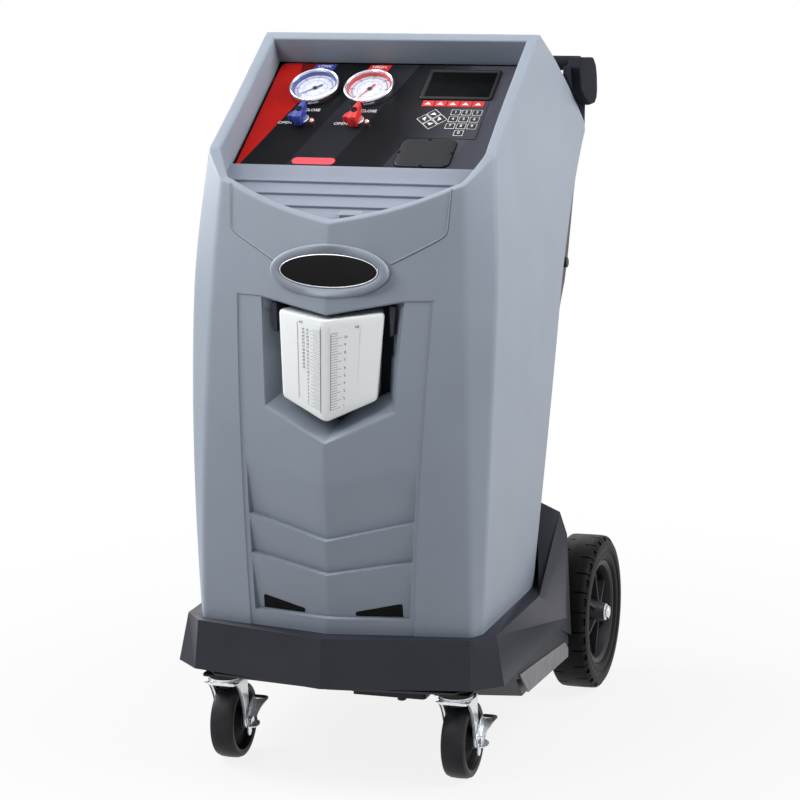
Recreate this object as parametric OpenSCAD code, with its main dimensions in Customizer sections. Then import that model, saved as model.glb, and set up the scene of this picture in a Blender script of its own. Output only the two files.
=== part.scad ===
// Wheeled refrigerant recovery machine. Millimetres, +Z up, the front faces -Y,
// the origin is on the floor under the middle of the machine.

/* [Hood] */
// Height of the console rim's top edge above the floor
rim_top = 1120; // [1100:1:1140]
// Half width of the hood at its widest
hood_half = 246; // [242:1:250]
// Wall of the hood's sides
side_wall = 5; // [4:0.5:6]
// Wall of the hood's front, which carries the chevron pockets
front_wall = 12; // [10:0.5:14]
// How far the front keel stands ahead of the origin at the ledge
keel_front = 342; // [336:1:346]
// How far the keel leans back between the ledge and the rim's notch
keel_lean = 51; // [44:1:56]
// Depth of each chevron pocket at its lower edge
chevron_depth = 6; // [3:0.5:7]

/* [Console] */
// Slope of the control panel
panel_angle = 32; // [30:0.5:34]
// Half width of the control panel plate
panel_half = 205; // [200:1:207]
// Length of the control panel plate along its slope
panel_len = 260; // [254:1:264]
// Thickness of the control panel plate
panel_t = 3; // [2:0.5:4]
// Diameter of a gauge's bezel
bezel_d = 83; // [78:1:86]
// Height of a gauge's bezel above the panel
bezel_h = 14; // [12:0.5:16]

/* [Base] */
// Height of the ledge that the hood stands on
ledge_z = 238; // [234:1:242]
// Height of the skirt's lower edge
skirt_z = 162; // [160:1:168]
// Top of the chassis plate
deck_z = 154; // [154:0.5:156]
// Thickness of the chassis plate
deck_t = 4; // [3:0.5:5]
// Back end of the tank bay
bay_rear = 362; // [360:1:368]

/* [Wheels] */
// Radius of a rear tyre
tyre_r = 130; // [126:0.5:132]
// Width of a rear tyre
tyre_w = 68; // [62:1:68]
// Outer face of a rear tyre from the middle of the machine
track_half = 285; // [284:1:292]
// Diameter of the rear axle
axle_d = 16; // [14:0.5:18]
// Radius of a caster wheel
caster_r = 61; // [56:0.5:62]
// Width of a caster wheel
caster_w = 36; // [30:1:38]
// Distance a caster wheel trails behind its swivel
trail = 30; // [26:1:32]
// Sideways distance of a caster swivel from the middle
caster_x = 190; // [184:1:194]

/* [Tank and bottle] */
// Diameter of the refrigerant tank
tank_d = 230; // [216:1:234]
// Height of the refrigerant tank's shell
tank_h = 380; // [340:1:400]
// Height of the oil bottle's body
bottle_h = 134; // [126:1:138]

/* [Fits] */
// Radial clearance of a shaft that turns in a hole
run_gap = 0.05; // [0.02:0.01:0.08]
// Air between pieces that move past each other
air = 0.4; // [0.3:0.05:0.8]
// Paint and glue line between flat pieces that lie on each other
seat_gap = 0.05; // [0.02:0.01:0.1]

/* [Hidden] */
$fn = 64;
eps = 0.01;

// Hood stations, all tied to the ledge and the rim
rise = rim_top - ledge_z;
notch_z = ledge_z + 0.711 * rise;
knee_z = ledge_z + 0.8186 * rise;
shoulder_z = ledge_z + 0.77 * rise;
belly_z = ledge_z + 0.57 * rise;
tip_z = ledge_z + 0.796 * rise;
knee_y = -191;
crest_y = 68;
crest = [crest_y, rim_top];
slope_start_z = ledge_z + 0.524 * rise;
hood_levels = 14;

// Panel frame: u runs along +X, v down the slope from the panel's top edge, h along its normal
panel_top = [crest_y + 3, rim_top - 51];
sin_p = sin(panel_angle);
cos_p = cos(panel_angle);
well_half = panel_half + 1;
lip = 18;
floor_t = 5;
steps_len = 41;
gauge_u = [-127, -35];
gauge_v = 70;
valve_u = [-128, -36];
valve_v = 146;
valve_stem_r = 5;
gauge_axis_h = 5;
display_uv = [112, 54];
display_size = [120, 74];
keypad_uv = [112, 140];
keypad_size = [112, 92];
cover_uv = [97, 224];
cover_size = [88, 66];

// Bottle and the recess in the hood's front
bottle_base_z = 566;
bottle_top_z = bottle_base_z + 33 + bottle_h;
bottle_back = -232;
recess_back = -222;
recess_top_z = bottle_top_z + 15;
recess_wall = 4;
badge_z = recess_top_z + 46;
recess_corner_z = bottle_base_z + 17;
recess_low_z = bottle_base_z - 32;
brow_drop = 19;
bottle_dip = 11;
badge_tilt = 10;

// Base
wheel_gap = 5;
bay_half = track_half - tyre_w - wheel_gap;
pan_inset = 28;
floor_z = deck_z + 5;
wall_b = 5;
cross_y = [1, 24];
cover_gap = 22;
cover_t = 4;
cover_half = 228;

// Wheels
axle_y = 381 - tyre_r;
axle_z = tyre_r;
axle_r = axle_d / 2;
tyre_in_r = 88;
caster_y = -291;
caster_top = deck_z - deck_t;
fork_leg = 3.5;
fork_in = caster_w / 2 + 2;
fork_out = fork_in + fork_leg;
kingpin_r = 8;
crown_z = 126;
bolt_r = 4;

// Machinery
bulkhead_y = -22;
bulkhead_t = 2;
tank_y = 238;
platform_z = 174;
fan_y = -190;
fan_z = 262;
fan_r = 78;

function between(a, b, t) = a + (b - a) * t;
function climb(z, top_z, power) = pow(max(0, z - ledge_z) / (top_z - ledge_z), power);
function keel_y(z) = -keel_front + keel_lean * climb(z, notch_z, 3);
function crease_y(z) = -303 + 68 * climb(z, shoulder_z, 2);
function crease_x(z) = 219.5 - 23.5 * climb(z, shoulder_z, 1.6);
function corner_y(z) = -281 + 90 * climb(z, knee_z, 2.1);
function corner_x(z) = z < belly_z
  ? hood_half - 15 * pow((belly_z - z) / (belly_z - ledge_z), 1.7)
  : hood_half - 16 * pow(sin(min(90, 90 * (z - belly_z) / 300)), 2);
function front_y(x, z) = keel_y(z) + (crease_y(z) - keel_y(z)) * abs(x) / crease_x(z);
function rear_y(z) = 113 * climb(z, ledge_z + 0.473 * rise, 1.15)
  + (z > slope_start_z ? 124 * pow((z - slope_start_z) / (tip_z - slope_start_z), 2) : 0);
tip = [rear_y(tip_z), tip_z];
function bezier(a, b, c, t) = a * (1 - t) * (1 - t) + b * 2 * t * (1 - t) + c * t * t;
function hood_ring(z, side, front) = [
  [0, keel_y(z) + front, z],
  [crease_x(z) - 0.5 * side, crease_y(z) + front, z],
  [corner_x(z) - side, corner_y(z) + 0.6 * side, z],
  [corner_x(z) - side, tip.x + 60, z],
  [side - corner_x(z), tip.x + 60, z],
  [side - corner_x(z), corner_y(z) + 0.6 * side, z],
  [0.5 * side - crease_x(z), crease_y(z) + front, z]];
function on_y(v, h) = panel_top.x - v * cos_p - h * sin_p;
function on_z(v, h) = panel_top.y - v * sin_p + h * cos_p;
function on(v, h) = [on_y(v, h), on_z(v, h)];

// Side view curves of the hood: rim, back slope and rear edge
slope_pts = [for (i = [0:6]) bezier(crest, [222, rim_top - 74], [tip.x - 2, tip_z + 15], i / 6)];
function rear_pts(dy) = [for (i = [0:12]) let (z = between(tip_z, ledge_z, i / 12)) [rear_y(z) + dy, z]];

module along_x(half) {
  rotate([90, 0, 90]) translate([0, 0, -half]) linear_extrude(2 * half) children();
}

module slab_x(x0, x1) {
  rotate([90, 0, 90]) translate([0, 0, x0]) linear_extrude(x1 - x0) children();
}

module slab_y(y0, y1) {
  translate([0, y1, 0]) rotate([90, 0, 0]) linear_extrude(y1 - y0) children();
}

module on_panel(u, v, h = 0) {
  translate([u, on_y(v, 0), on_z(v, 0)]) rotate([panel_angle, 0, 0]) translate([0, 0, h]) children();
}

module block(x, y, z) {
  translate([x[0], y[0], z[0]]) cube([x[1] - x[0], y[1] - y[0], z[1] - z[0]]);
}

module ring_loft(rings) {
  n = len(rings[0]);
  last = (len(rings) - 1) * n;
  bottom = [for (i = [1:n - 2]) [0, i, i + 1]];
  top = [for (i = [1:n - 2]) [last, last + i + 1, last + i]];
  sides = [for (k = [0:len(rings) - 2]) for (i = [0:n - 1])
    let (a = k * n + i, b = k * n + (i + 1) % n)
    each [[a, a + n, b], [b, a + n, b + n]]];
  polyhedron([for (r = rings) each r], concat(bottom, sides, top));
}

module rounded_rect(size, r) {
  for (s = [-1, 1]) translate([s * (size.x / 2 - r), 0]) {
    for (t = [-1, 1]) translate([0, t * (size.y / 2 - r)]) circle(r);
  }
  square([size.x, size.y - 2 * r], center = true);
  square([size.x - 2 * r, size.y], center = true);
}

module ellipse(a, b) {
  polygon([for (i = [0:71]) [a * cos(5 * i), b * sin(5 * i)]]);
}

module tube(r_out, r_in, h) {
  difference() {
    cylinder(r = r_out, h = h);
    translate([0, 0, -1]) cylinder(r = r_in, h = h + 2);
  }
}

module x_turned(x0) {
  translate([x0, 0, 0]) rotate([0, 90, 0]) rotate_extrude($fn = 96) children();
}

// Hood

module hood_loft(side, front, low, high) {
  ring_loft([for (i = [0:hood_levels]) hood_ring(between(low, high, i / hood_levels), side, front)]);
}

module hood_body() {
  reach = 420;
  run = (knee_z - notch_z) / 100;
  intersection() {
    hood_loft(0, 0, ledge_z, rim_top + 5);
    along_x(300) polygon(concat([[-reach, ledge_z], [-reach, knee_z - run * (reach + knee_y)],
      [knee_y, knee_z]], slope_pts, rear_pts(0)));
  }
}

module hood_hollow() {
  wall = 6;
  inner_slope = [for (i = [1:5]) slope_pts[i] - [4, 7]];
  intersection() {
    hood_loft(side_wall, front_wall, ledge_z - 5, rim_top);
    along_x(300) polygon(concat([[-420, ledge_z - 5], on(560, -panel_t - floor_t),
      on(-8, -panel_t - floor_t), on(-8, 26)], inner_slope, rear_pts(-wall), [[-wall, ledge_z - 5]]));
  }
  intersection() {
    hood_loft(22, front_wall, ledge_z - 5, tip_z - 8);
    along_x(300) polygon(concat(rear_pts(-wall - 1), [[-7, ledge_z - 5], [60, ledge_z - 5],
      [tip.x + 60, tip_z + 5]]));
  }
}

module console_well() {
  v1 = panel_len + 12;
  tread = [for (i = [0:2]) each [[v1 + i * steps_len, 0], [v1 + (i + 1) * steps_len - 6, 5]]];
  floor_pts = concat([[0, -panel_t], [panel_len, -panel_t], [panel_len, 0]], tread,
    [[v1 + 3 * steps_len + 60, 0], [v1 + 3 * steps_len + 60, 120], [0, 120]]);
  intersection() {
    hood_loft(20, lip, ledge_z, rim_top + 60);
    along_x(well_half) polygon([for (p = floor_pts) on(p.x, p.y)]);
  }
}

module panel_opening() {
  margin = 18;
  size = [2 * panel_half - 2 * margin, panel_len - 2 * margin];
  on_panel(0, panel_len / 2, -60) translate([-size.x / 2, -size.y / 2, 0]) cube([size.x, size.y, 62]);
}

module recess_shape(grow) {
  polygon([[-115 - grow, recess_top_z + grow], [-105 - grow, recess_corner_z],
    [0, recess_low_z - 1.2 * grow],
    [105 + grow, recess_corner_z], [115 + grow, recess_top_z + grow],
    [0, recess_top_z - brow_drop + grow]]);
}

module chevron_pocket(half, low_mid, low_end, high_mid, high_end) {
  for (m = [0, 1]) mirror([m, 0, 0]) ring_loft([
    for (e = [[-0.2, low_mid, high_mid], [half, low_end, high_end]]) [
      [e[0], front_y(e[0], e[2]) - 1, e[2]],
      [e[0], front_y(e[0], e[1]) - 8, e[1]],
      [e[0], front_y(e[0], e[1]) + chevron_depth, e[1]]]]);
}

module badge_frame() {
  translate([0, keel_y(badge_z) + 6, badge_z]) rotate([90 - badge_tilt, 0, 0]) children();
}

module shroud() {
  color("#7b838f") difference() {
    union() {
      difference() {
        hood_body();
        hood_hollow();
      }
      intersection() {
        hood_body();
        slab_y(-400, recess_back + recess_wall) recess_shape(recess_wall);
      }
      badge_frame() translate([0, 0, -22]) linear_extrude(22) ellipse(94, 40);
    }
    console_well();
    panel_opening();
    slab_y(-420, recess_back) recess_shape(0);
    badge_frame() linear_extrude(40) ellipse(94, 40);
    badge_frame() translate([0, 0, -2]) linear_extrude(10) ellipse(78.3, 25.3);
    chevron_pocket(132, 383, 413, 468, 498);
    chevron_pocket(128, 330, 351, 381, 411);
    chevron_pocket(124, 262, 264, 328, 349);
    for (m = [0, 1]) mirror([m, 0, 0]) slab_y(-400, -280)
      polygon([[42, 264], [112, 264], [112, 286], [42, 272]]);
  }
}

module badge_plate() {
  color("#141416") badge_frame() translate([0, 0, -2]) linear_extrude(4) ellipse(78, 25);
}

module bottle_holder() {
  seat = bottle_base_z + 34.5;
  sag = bottle_base_z - 8;
  under = seat - 6;
  bottom = [[-96, seat], [0, bottle_base_z - air - 0.6], [96, seat]];
  color("#18181a") {
    slab_y(recess_back - 6, recess_back) polygon([[-100, recess_top_z - 8], [-96, under],
      [0, sag], [96, under], [100, recess_top_z - 8],
      [0, recess_top_z - brow_drop - 8]]);
    slab_y(-264, recess_back - 6) polygon(concat(bottom, [[96, under], [0, sag], [-96, under]]));
    for (m = [0, 1]) mirror([m, 0, 0]) slab_y(-284, recess_back - 6)
      polygon([[91, recess_top_z - 54], [96, recess_top_z - 52], [100, recess_top_z - 8],
        [91, recess_top_z - 8]]);
  }
}

module oil_bottle() {
  corner_z = bottle_base_z + 33;
  low = [[0, -330, bottle_base_z], [77, -309, corner_z], [58, bottle_back, corner_z],
    [0, bottle_back, bottle_base_z], [-58, bottle_back, corner_z], [-77, -309, corner_z]];
  dip_z = bottle_top_z - bottle_dip;
  high = [[0, -322, dip_z], [86, -293, bottle_top_z - 2], [64, bottle_back, bottle_top_z],
    [0, bottle_back, dip_z], [-64, bottle_back, bottle_top_z], [-86, -293, bottle_top_z - 2]];
  color("#eeeef0") union() {
    ring_loft([low, high]);
    translate([0, -255, bottle_top_z - bottle_dip - 3]) cylinder(r = 7, h = 5);
  }
}

module bottle_cap() {
  color("#202022") translate([0, -255, bottle_top_z - bottle_dip + 2]) cylinder(r = 10, h = 4, $fn = 32);
}

// Console

module control_panel() {
  inset = 0.3;
  color("#1d1f23") difference() {
    on_panel(0, panel_len / 2, seat_gap - panel_t)
      translate([inset - panel_half, inset - panel_len / 2, 0])
      cube([2 * (panel_half - inset), panel_len - 2 * inset, panel_t - seat_gap]);
    for (u = gauge_u) on_panel(u, gauge_v, -10) cylinder(r = bezel_d / 2 - 7, h = 20);
    for (u = valve_u) on_panel(u, valve_v, -10) cylinder(r = valve_stem_r + 4.2, h = 20);
  }
}

module gauge_cases() {
  r = bezel_d / 2;
  color("#c9ccd2") for (u = gauge_u) on_panel(u, gauge_v) difference() {
    union() {
      translate([0, 0, -38]) cylinder(r = r - 7.2, h = 40);
      rotate_extrude() polygon([[0, 0], [r, 0], [r, bezel_h - 3], [r - 2, bezel_h], [0, bezel_h]]);
    }
    translate([0, 0, 3]) cylinder(r = r - 6, h = bezel_h);
    translate([0, 0, bezel_h - 3]) cylinder(r = r - 4, h = 6);
  }
}

module gauge_dials() {
  color("#e9e9f2") for (u = gauge_u) on_panel(u, gauge_v, 3) {
    cylinder(r = bezel_d / 2 - 6.3, h = 1.2);
    cylinder(r = 1.5, h = 5);
  }
}

module gauge_lenses() {
  color([0.85, 0.9, 0.95, 0.3]) for (u = gauge_u) on_panel(u, gauge_v, bezel_h - 3)
    cylinder(r = bezel_d / 2 - 4.2, h = 1.6);
}

module pointer(turn) {
  rotate([0, 0, turn]) difference() {
    union() {
      cylinder(r = 4, h = 1.4);
      translate([-26, -0.8, 0]) cube([26, 1.6, 1]);
      translate([0, -1.4, 0]) cube([12, 2.8, 1]);
    }
    translate([0, 0, -1]) cylinder(r = 1.5 + run_gap, h = 4);
  }
}

module gauge_pointer_low() {
  color("#3f5aa8") on_panel(gauge_u[0], gauge_v, gauge_axis_h) pointer(38);
}

module gauge_pointer_high() {
  color("#a8342f") on_panel(gauge_u[1], gauge_v, gauge_axis_h) pointer(62);
}

module valve_bodies() {
  color("#b9bcc2") for (u = valve_u) on_panel(u, valve_v) {
    translate([0, 0, -34]) cylinder(r = valve_stem_r + 4, h = 34.01);
    cylinder(r = valve_stem_r + 7, h = 4, $fn = 24);
    translate([0, 0, 4 - eps]) cylinder(r = valve_stem_r, h = 20);
    translate([0, 0, 23.5]) cylinder(r = valve_stem_r - 1.5, h = 2);
    translate([21.5, -12, 0]) cylinder(r = 4.6, h = 8);
    translate([21.5, -12, 8]) sphere(r = 4.6);
  }
}

module valve_knob(u) {
  on_panel(u, valve_v, 4 + air) difference() {
    union() {
      linear_extrude(16) polygon([[2, 28], [8.5, 6], [8.5, -16], [-8.5, -16], [-8.5, 4]]);
      linear_extrude(10) polygon([[-8, 8], [-20, 2], [-25, -8], [-17, -9], [-8, -12]]);
      cylinder(r = 8.6, h = 18);
    }
    translate([0, 0, -1]) cylinder(r = valve_stem_r + run_gap, h = 30);
  }
}

module valve_knob_low() {
  color("#2b469c") valve_knob(valve_u[0]);
}

module valve_knob_high() {
  color("#d01f1f") valve_knob(valve_u[1]);
}

module display_bezel() {
  color("#141518") on_panel(display_uv.x, display_uv.y, seat_gap) difference() {
    linear_extrude(4) rounded_rect(display_size, 4);
    translate([0, 0, -1]) linear_extrude(8) square(display_size - [12, 16], center = true);
  }
}

module display_screen() {
  color("#0d0e11") on_panel(display_uv.x, display_uv.y, seat_gap) translate([0, 0, 1])
    cube([display_size.x - 12.2, display_size.y - 16.2, 2], center = true);
}

module keypad() {
  film = 0.8;
  color("#24262b") on_panel(keypad_uv.x, keypad_uv.y) {
    linear_extrude(film) rounded_rect(keypad_size, 3);
    for (i = [-2:2]) translate([20 * i, 38, film + 0.3]) cube([16, 11, 0.6 + eps], center = true);
    for (i = [0:2]) for (j = [0:2])
      translate([11 + 17 * i, 18 - 16 * j, film + 0.3]) cube([13, 11, 0.6 + eps], center = true);
    translate([28, -34, film + 0.3]) cube([13, 11, 0.6 + eps], center = true);
    for (a = [0:90:270]) translate([-26, 2, 0]) rotate([0, 0, a + 45]) translate([0, 0, film + 0.3])
      translate([9.5, 9.5, 0]) cube([15, 15, 0.6 + eps], center = true);
  }
}

module service_cover() {
  color("#202227") on_panel(cover_uv.x, cover_uv.y) linear_extrude(3) rounded_rect(cover_size, 12);
}

module control_board() {
  color("#1f5a3a") on_panel(display_uv.x, 98) {
    translate([0, 0, -panel_t - 12]) linear_extrude(1.6) square([118, 150], center = true);
    for (x = [-52, 52]) for (y = [-68, 68]) translate([x, y, -panel_t - 11]) cylinder(r =
      3, h = 11, $fn = 24);
    translate([-20, 20, -panel_t - 20]) linear_extrude(8 + eps) square([40, 30], center = true);
    translate([30, -30, -panel_t - 24]) linear_extrude(12 + eps) square([30, 44], center = true);
  }
}

// Handle and rear cover

bar_at = [tip.x - 37.6, tip_z + 113.9];
bar_r = 12;
bracket_in = 224;
bracket_out = 248;
socket = 12;

module handle_bracket() {
  outline = [slope_pts[4], slope_pts[5], slope_pts[6], [tip.x + 10, tip_z + 47], [tip.x + 24, tip_z + 58],
    [tip.x + 28, tip_z + 86], [tip.x + 22, tip_z + 106], [tip.x + 6, tip_z + 120],
    [tip.x - 60, tip_z + 126], [tip.x - 84, tip_z + 112]];
  leg = [slope_pts[6], tip, [tip.x + 8, tip_z], [tip.x + 13, tip_z + 52], [tip.x - 20, tip_z + 60]];
  difference() {
    union() {
      slab_x(bracket_in, bracket_out) polygon(outline);
      slab_x(bracket_in, bracket_in + 9) polygon(leg);
    }
    translate([bracket_in - 1, bar_at.x, bar_at.y]) rotate([0, 90, 0])
      cylinder(r = bar_r + run_gap, h = socket + 1);
  }
}

module handle_bracket_left() {
  color("#2c2e34") mirror([1, 0, 0]) handle_bracket();
}

module handle_bracket_right() {
  color("#2c2e34") handle_bracket();
}

module handle_bar() {
  half = bracket_in + socket - 0.1;
  color("#2c2e34") translate([-half, bar_at.x, bar_at.y]) rotate([0, 90, 0]) cylinder(r =
    bar_r, h = 2 * half);
}

module cover_band(y0, y1) {
  a = rear_pts(y0);
  b = rear_pts(y1);
  polygon(concat(a, [for (i = [12:-1:0]) b[i]]));
}

module rear_cover() {
  low = tip_z - 6;
  color("#33353b") {
    along_x(cover_half) cover_band(cover_gap - cover_t, cover_gap);
    for (m = [0, 1]) mirror([m, 0, 0]) slab_x(cover_half - 4, cover_half - 0.5)
      cover_band(0, cover_gap - 1);
    along_x(cover_half - 2) polygon([[tip.x + 1, tip_z - 0.5], [tip.x + cover_gap - 1, tip_z - 0.5],
      [rear_y(low) + cover_gap - 1, low], [rear_y(low) + 1, low]]);
  }
}

function edge_y(z) = lookup(z, [for (p = rear_pts(0)) [p.y, p.x]]);

module on_cover(x, z) {
  lean = atan2(edge_y(z + 2) - edge_y(z - 2), 4);
  translate([x, edge_y(z) + cover_gap, z]) rotate([-90 - lean, 0, 0]) children();
}

knob_z = ledge_z + 0.571 * rise;
port_z = ledge_z + 0.365 * rise;
inlet_z = ledge_z + 0.22 * rise;
port_x = 165;
rocker_r = 9;

module rear_knobs() {
  color("#17171a") for (s = [-1, 1]) on_cover(s * 214, knob_z) {
    translate([0, 0, 0.3]) cylinder(r = 5, h = 6);
    translate([0, 0, 6]) cylinder(r = 11, h = 12, $fn = 24);
  }
}

module hose_ports() {
  color("#b08d3e") for (s = [-1, 1]) on_cover(s * port_x, port_z) {
    translate([0, 0, 0.3]) cylinder(r = 14, h = 8, $fn = 24);
    translate([0, 0, 8]) cylinder(r = 7, h = 26);
    translate([0, 0, 14]) cylinder(r = 10, h = 10);
  }
}

module power_inlet() {
  color("#1b1b1d") on_cover(-port_x, inlet_z) difference() {
    union() {
      translate([0, 0, 6.7]) cube([34, 78, 12], center = true);
      translate([-7.5, 22, 12.7]) rotate([0, 90, 0]) cylinder(r = 1.5, h = 15, $fn = 24);
    }
    difference() {
      translate([0, 22, 10]) cube([14, 22, 14], center = true);
      translate([-7.5, 22, 12.7]) rotate([0, 90, 0]) cylinder(r = 1.5, h = 15, $fn = 24);
    }
    translate([0, -16, 9]) cube([24, 30, 10], center = true);
  }
}

module power_switch() {
  color("#7a1512") on_cover(-port_x, inlet_z) translate([-6, 22, 12.7]) rotate([0, 90, 0]) difference() {
    union() {
      cylinder(r = 5, h = 12);
      translate([-4, -rocker_r, 0]) cube([4, 2 * rocker_r, 12]);
    }
    translate([0, 0, -1]) cylinder(r = 1.5 + run_gap, h = 14, $fn = 24);
  }
}

// Base

function both_sides(pts, z) = concat([for (p = pts) [p.x, p.y, z]],
  [for (i = [len(pts) - 1:-1:1]) [-pts[i].x, pts[i].y, z]]);

skirt_low = [[0, -381], [225, -331], [267, -292], [264, 102], [bay_half, 108]];
skirt_high = [[0, -370], [222, -319], [253, -283], [256, -52], [bay_half, 100]];

function inset_pts(pts, d) = [for (p = pts) [max(0, p.x - (p.x > 0 ? d : 0)), p.y + (p.y < -60 ? d : -d)]];

module skirt_solid(d_low, d_high, z0, z1) {
  ring_loft([both_sides(inset_pts(skirt_low, d_low), z0), both_sides(inset_pts(skirt_high, d_high), z1)]);
}

module wing() {
  foot = ledge_z - 76;
  rear = axle_y - tyre_r - 13;
  out = bay_half + 46;
  front_ring = [[bay_half - 4, 2, ledge_z - 40], [out - 6, -48, ledge_z - 40], [out - 2.6, -50, ledge_z - 38],
    [out - 2.6, -50, ledge_z - 1], [out - 10, -26, ledge_z], [bay_half + 27, 0, ledge_z]];
  rear_ring = [[bay_half - 4, rear, foot], [out - 2.6, rear - 4, foot - 4], [out + 8, rear - 4, foot - 32],
    [out + 1, rear, ledge_z + 62], [out - 11, rear, ledge_z + 99], [bay_half - 4, rear, ledge_z + 116]];
  ring_loft([rear_ring, front_ring]);
}

module base_tub() {
  color("#303239") {
    difference() {
      union() {
        skirt_solid(0, 0, skirt_z, ledge_z);
        skirt_solid(pan_inset, pan_inset, deck_z, skirt_z + 2);
        block([-bay_half, bay_half], [0, bay_rear], [deck_z, ledge_z]);
      }
      difference() {
        skirt_solid(pan_inset + 5, 8, floor_z, ledge_z - 5);
        block([-300, 300], cross_y, [0, 400]);
      }
      ring_loft([for (z = [ledge_z - 30, ledge_z + 4]) [for (p = hood_ring(ledge_z, 16, 26))
        [p.x, min(p.y, cross_y[0]), z]]]);
      block([-bay_half + wall_b + 9, bay_half - wall_b - 9], [cross_y[1], bay_rear - wall_b],
        [floor_z, ledge_z + 4]);
    }
    for (m = [0, 1]) mirror([m, 0, 0]) {
      wing();
      slab_x(255.4, 262) polygon([[-284, skirt_z + 3], [-188, skirt_z - 20], [100, skirt_z - 48],
        [100, skirt_z + 3]]);
      slab_x(bay_half - 12, bay_half) polygon([[60, ledge_z - 1], [72, ledge_z + 104], [96, ledge_z + 115],
        [107, ledge_z + 114], [124, ledge_z + 56], [150, ledge_z + 24], [280, ledge_z + 14],
        [bay_rear, ledge_z + 12], [bay_rear, ledge_z - 1]]);
    }
  }
}

module chassis_plate() {
  pts = [[0, -345], [196, -322], [232, -280], [232, 30], [bay_half - 10, 70], [bay_half -
    10, bay_rear - 12]];
  color("#26272b") translate([0, 0, deck_z - deck_t]) linear_extrude(deck_t)
    polygon([for (p = both_sides(pts, 0)) [p.x, p.y]]);
}

module undertray() {
  low = [[0, -190], [252, -140], [254, 96]];
  high = [[0, -238], [252, -190], [254, 92]];
  depth = 52;
  top = deck_z - deck_t;
  skin = 4;
  color("#1c1d20") difference() {
    ring_loft([both_sides(low, top - depth), both_sides(high, top)]);
    ring_loft([both_sides(inset_pts(low, skin), top - depth + skin),
      both_sides(inset_pts(high, skin), top + 1)]);
  }
}

// Wheels

module axle_brackets() {
  color("#26272b") for (s = [-1, 1]) translate([s * 168, 0, 0]) difference() {
    slab_x(-4, 4) {
      translate([axle_y, axle_z]) circle(r = 17);
      polygon([[axle_y - 34, deck_z - deck_t], [axle_y - 15, axle_z - 8], [axle_y + 15, axle_z - 8],
        [axle_y + 34, deck_z - deck_t]]);
    }
    translate([-10, axle_y, axle_z]) rotate([0, 90, 0]) cylinder(r = axle_r + run_gap, h = 20);
  }
}

module rear_axle() {
  half = track_half + 5;
  hub_in = track_half - tyre_w;
  color("#8f9399") translate([0, axle_y, axle_z]) {
    translate([-half, 0, 0]) rotate([0, 90, 0]) cylinder(r = axle_r, h = 2 * half);
    for (s = [-1, 1]) translate([s * (173 + hub_in - air) / 2, 0, 0]) rotate([0, 90, 0])
      cylinder(r = axle_r + 5, h = hub_in - air - 173, center = true);
  }
}

module axle_nuts() {
  color("#c7cad0") for (m = [0, 1]) mirror([m, 0, 0]) translate([track_half + air, axle_y, axle_z])
    rotate([0, 90, 0]) difference() {
      union() {
        cylinder(r = 14, h = 2.5);
        cylinder(r = 10.5, h = 8, $fn = 24);
      }
      translate([0, 0, -1]) cylinder(r = axle_r + run_gap, h = 6.2);
    }
}

module rear_tyre() {
  w = tyre_w / 2;
  translate([track_half - w, axle_y, axle_z]) x_turned(0)
    polygon([[tyre_in_r + run_gap, -w + 6], [tyre_in_r + 8, -w], [tyre_r - 14, -w], [tyre_r - 4, -w + 6],
      [tyre_r, -w + 16], [tyre_r, w - 16], [tyre_r - 4, w - 6], [tyre_r - 14, w], [tyre_in_r + 8, w],
      [tyre_in_r + run_gap, w - 6]]);
}

module rear_hub() {
  w = tyre_w / 2;
  translate([track_half - w, axle_y, axle_z]) difference() {
    x_turned(0) polygon([[axle_r + run_gap, -w], [22, -w], [22, -5], [76, -5], [76, -w + 7],
      [tyre_in_r, -w + 7], [tyre_in_r, w - 7], [76, w - 7], [76, 5], [26, 8], [22, w],
        [axle_r + run_gap, w]]);
    for (a = [0:60:300]) rotate([a, 0, 0]) translate([-20, 0, 50]) rotate([0, 90, 0])
      cylinder(r = 14, h = 40);
  }
}

module rear_tyre_left() {
  color("#1a1a1b") mirror([1, 0, 0]) rear_tyre();
}

module rear_tyre_right() {
  color("#1a1a1b") rear_tyre();
}

module rear_hub_left() {
  color("#222326") mirror([1, 0, 0]) rear_hub();
}

module rear_hub_right() {
  color("#222326") rear_hub();
}

module at_caster(side) {
  translate([side * caster_x, caster_y, 0]) children();
}

module caster_plates() {
  plate_t = 4;
  color("#c2c5ca") for (s = [-1, 1]) at_caster(s) {
    translate([-40, -32, caster_top - plate_t]) cube([80, 72, plate_t]);
    translate([0, 0, crown_z + 16 + air]) tube(26, kingpin_r - 1, caster_top - plate_t -
      crown_z - 16 - air + eps);
    translate([0, 0, crown_z - 4]) cylinder(r = kingpin_r, h = caster_top - crown_z);
    translate([0, 0, crown_z - 3]) cylinder(r = 11, h = 3 - air);
  }
}

module fork_leg_shape() {
  polygon([[-24, crown_z + 5], [34, crown_z + 5], [trail + 13, caster_r + 2], [trail -
    12.8, caster_r - 2]]);
  translate([trail, caster_r]) circle(r = 13);
}

module caster_fork() {
  difference() {
    union() {
      for (x = [-fork_out, fork_in]) slab_x(x, x + fork_leg) fork_leg_shape();
      translate([-fork_out, -24, crown_z]) cube([2 * fork_out, 58, 5]);
      translate([0, 0, crown_z]) cylinder(r = 28, h = 5);
      translate([0, 0, crown_z + 5 - eps]) cylinder(r = 24, h = 11 + eps);
    }
    translate([0, 0, crown_z - 1]) cylinder(r = kingpin_r + run_gap, h = 30);
    translate([-60, trail, caster_r]) rotate([0, 90, 0]) cylinder(r = bolt_r + run_gap, h = 120);
  }
}

module caster_fork_left() {
  color("#c2c5ca") at_caster(-1) caster_fork();
}

module caster_fork_right() {
  color("#c2c5ca") at_caster(1) caster_fork();
}

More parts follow.
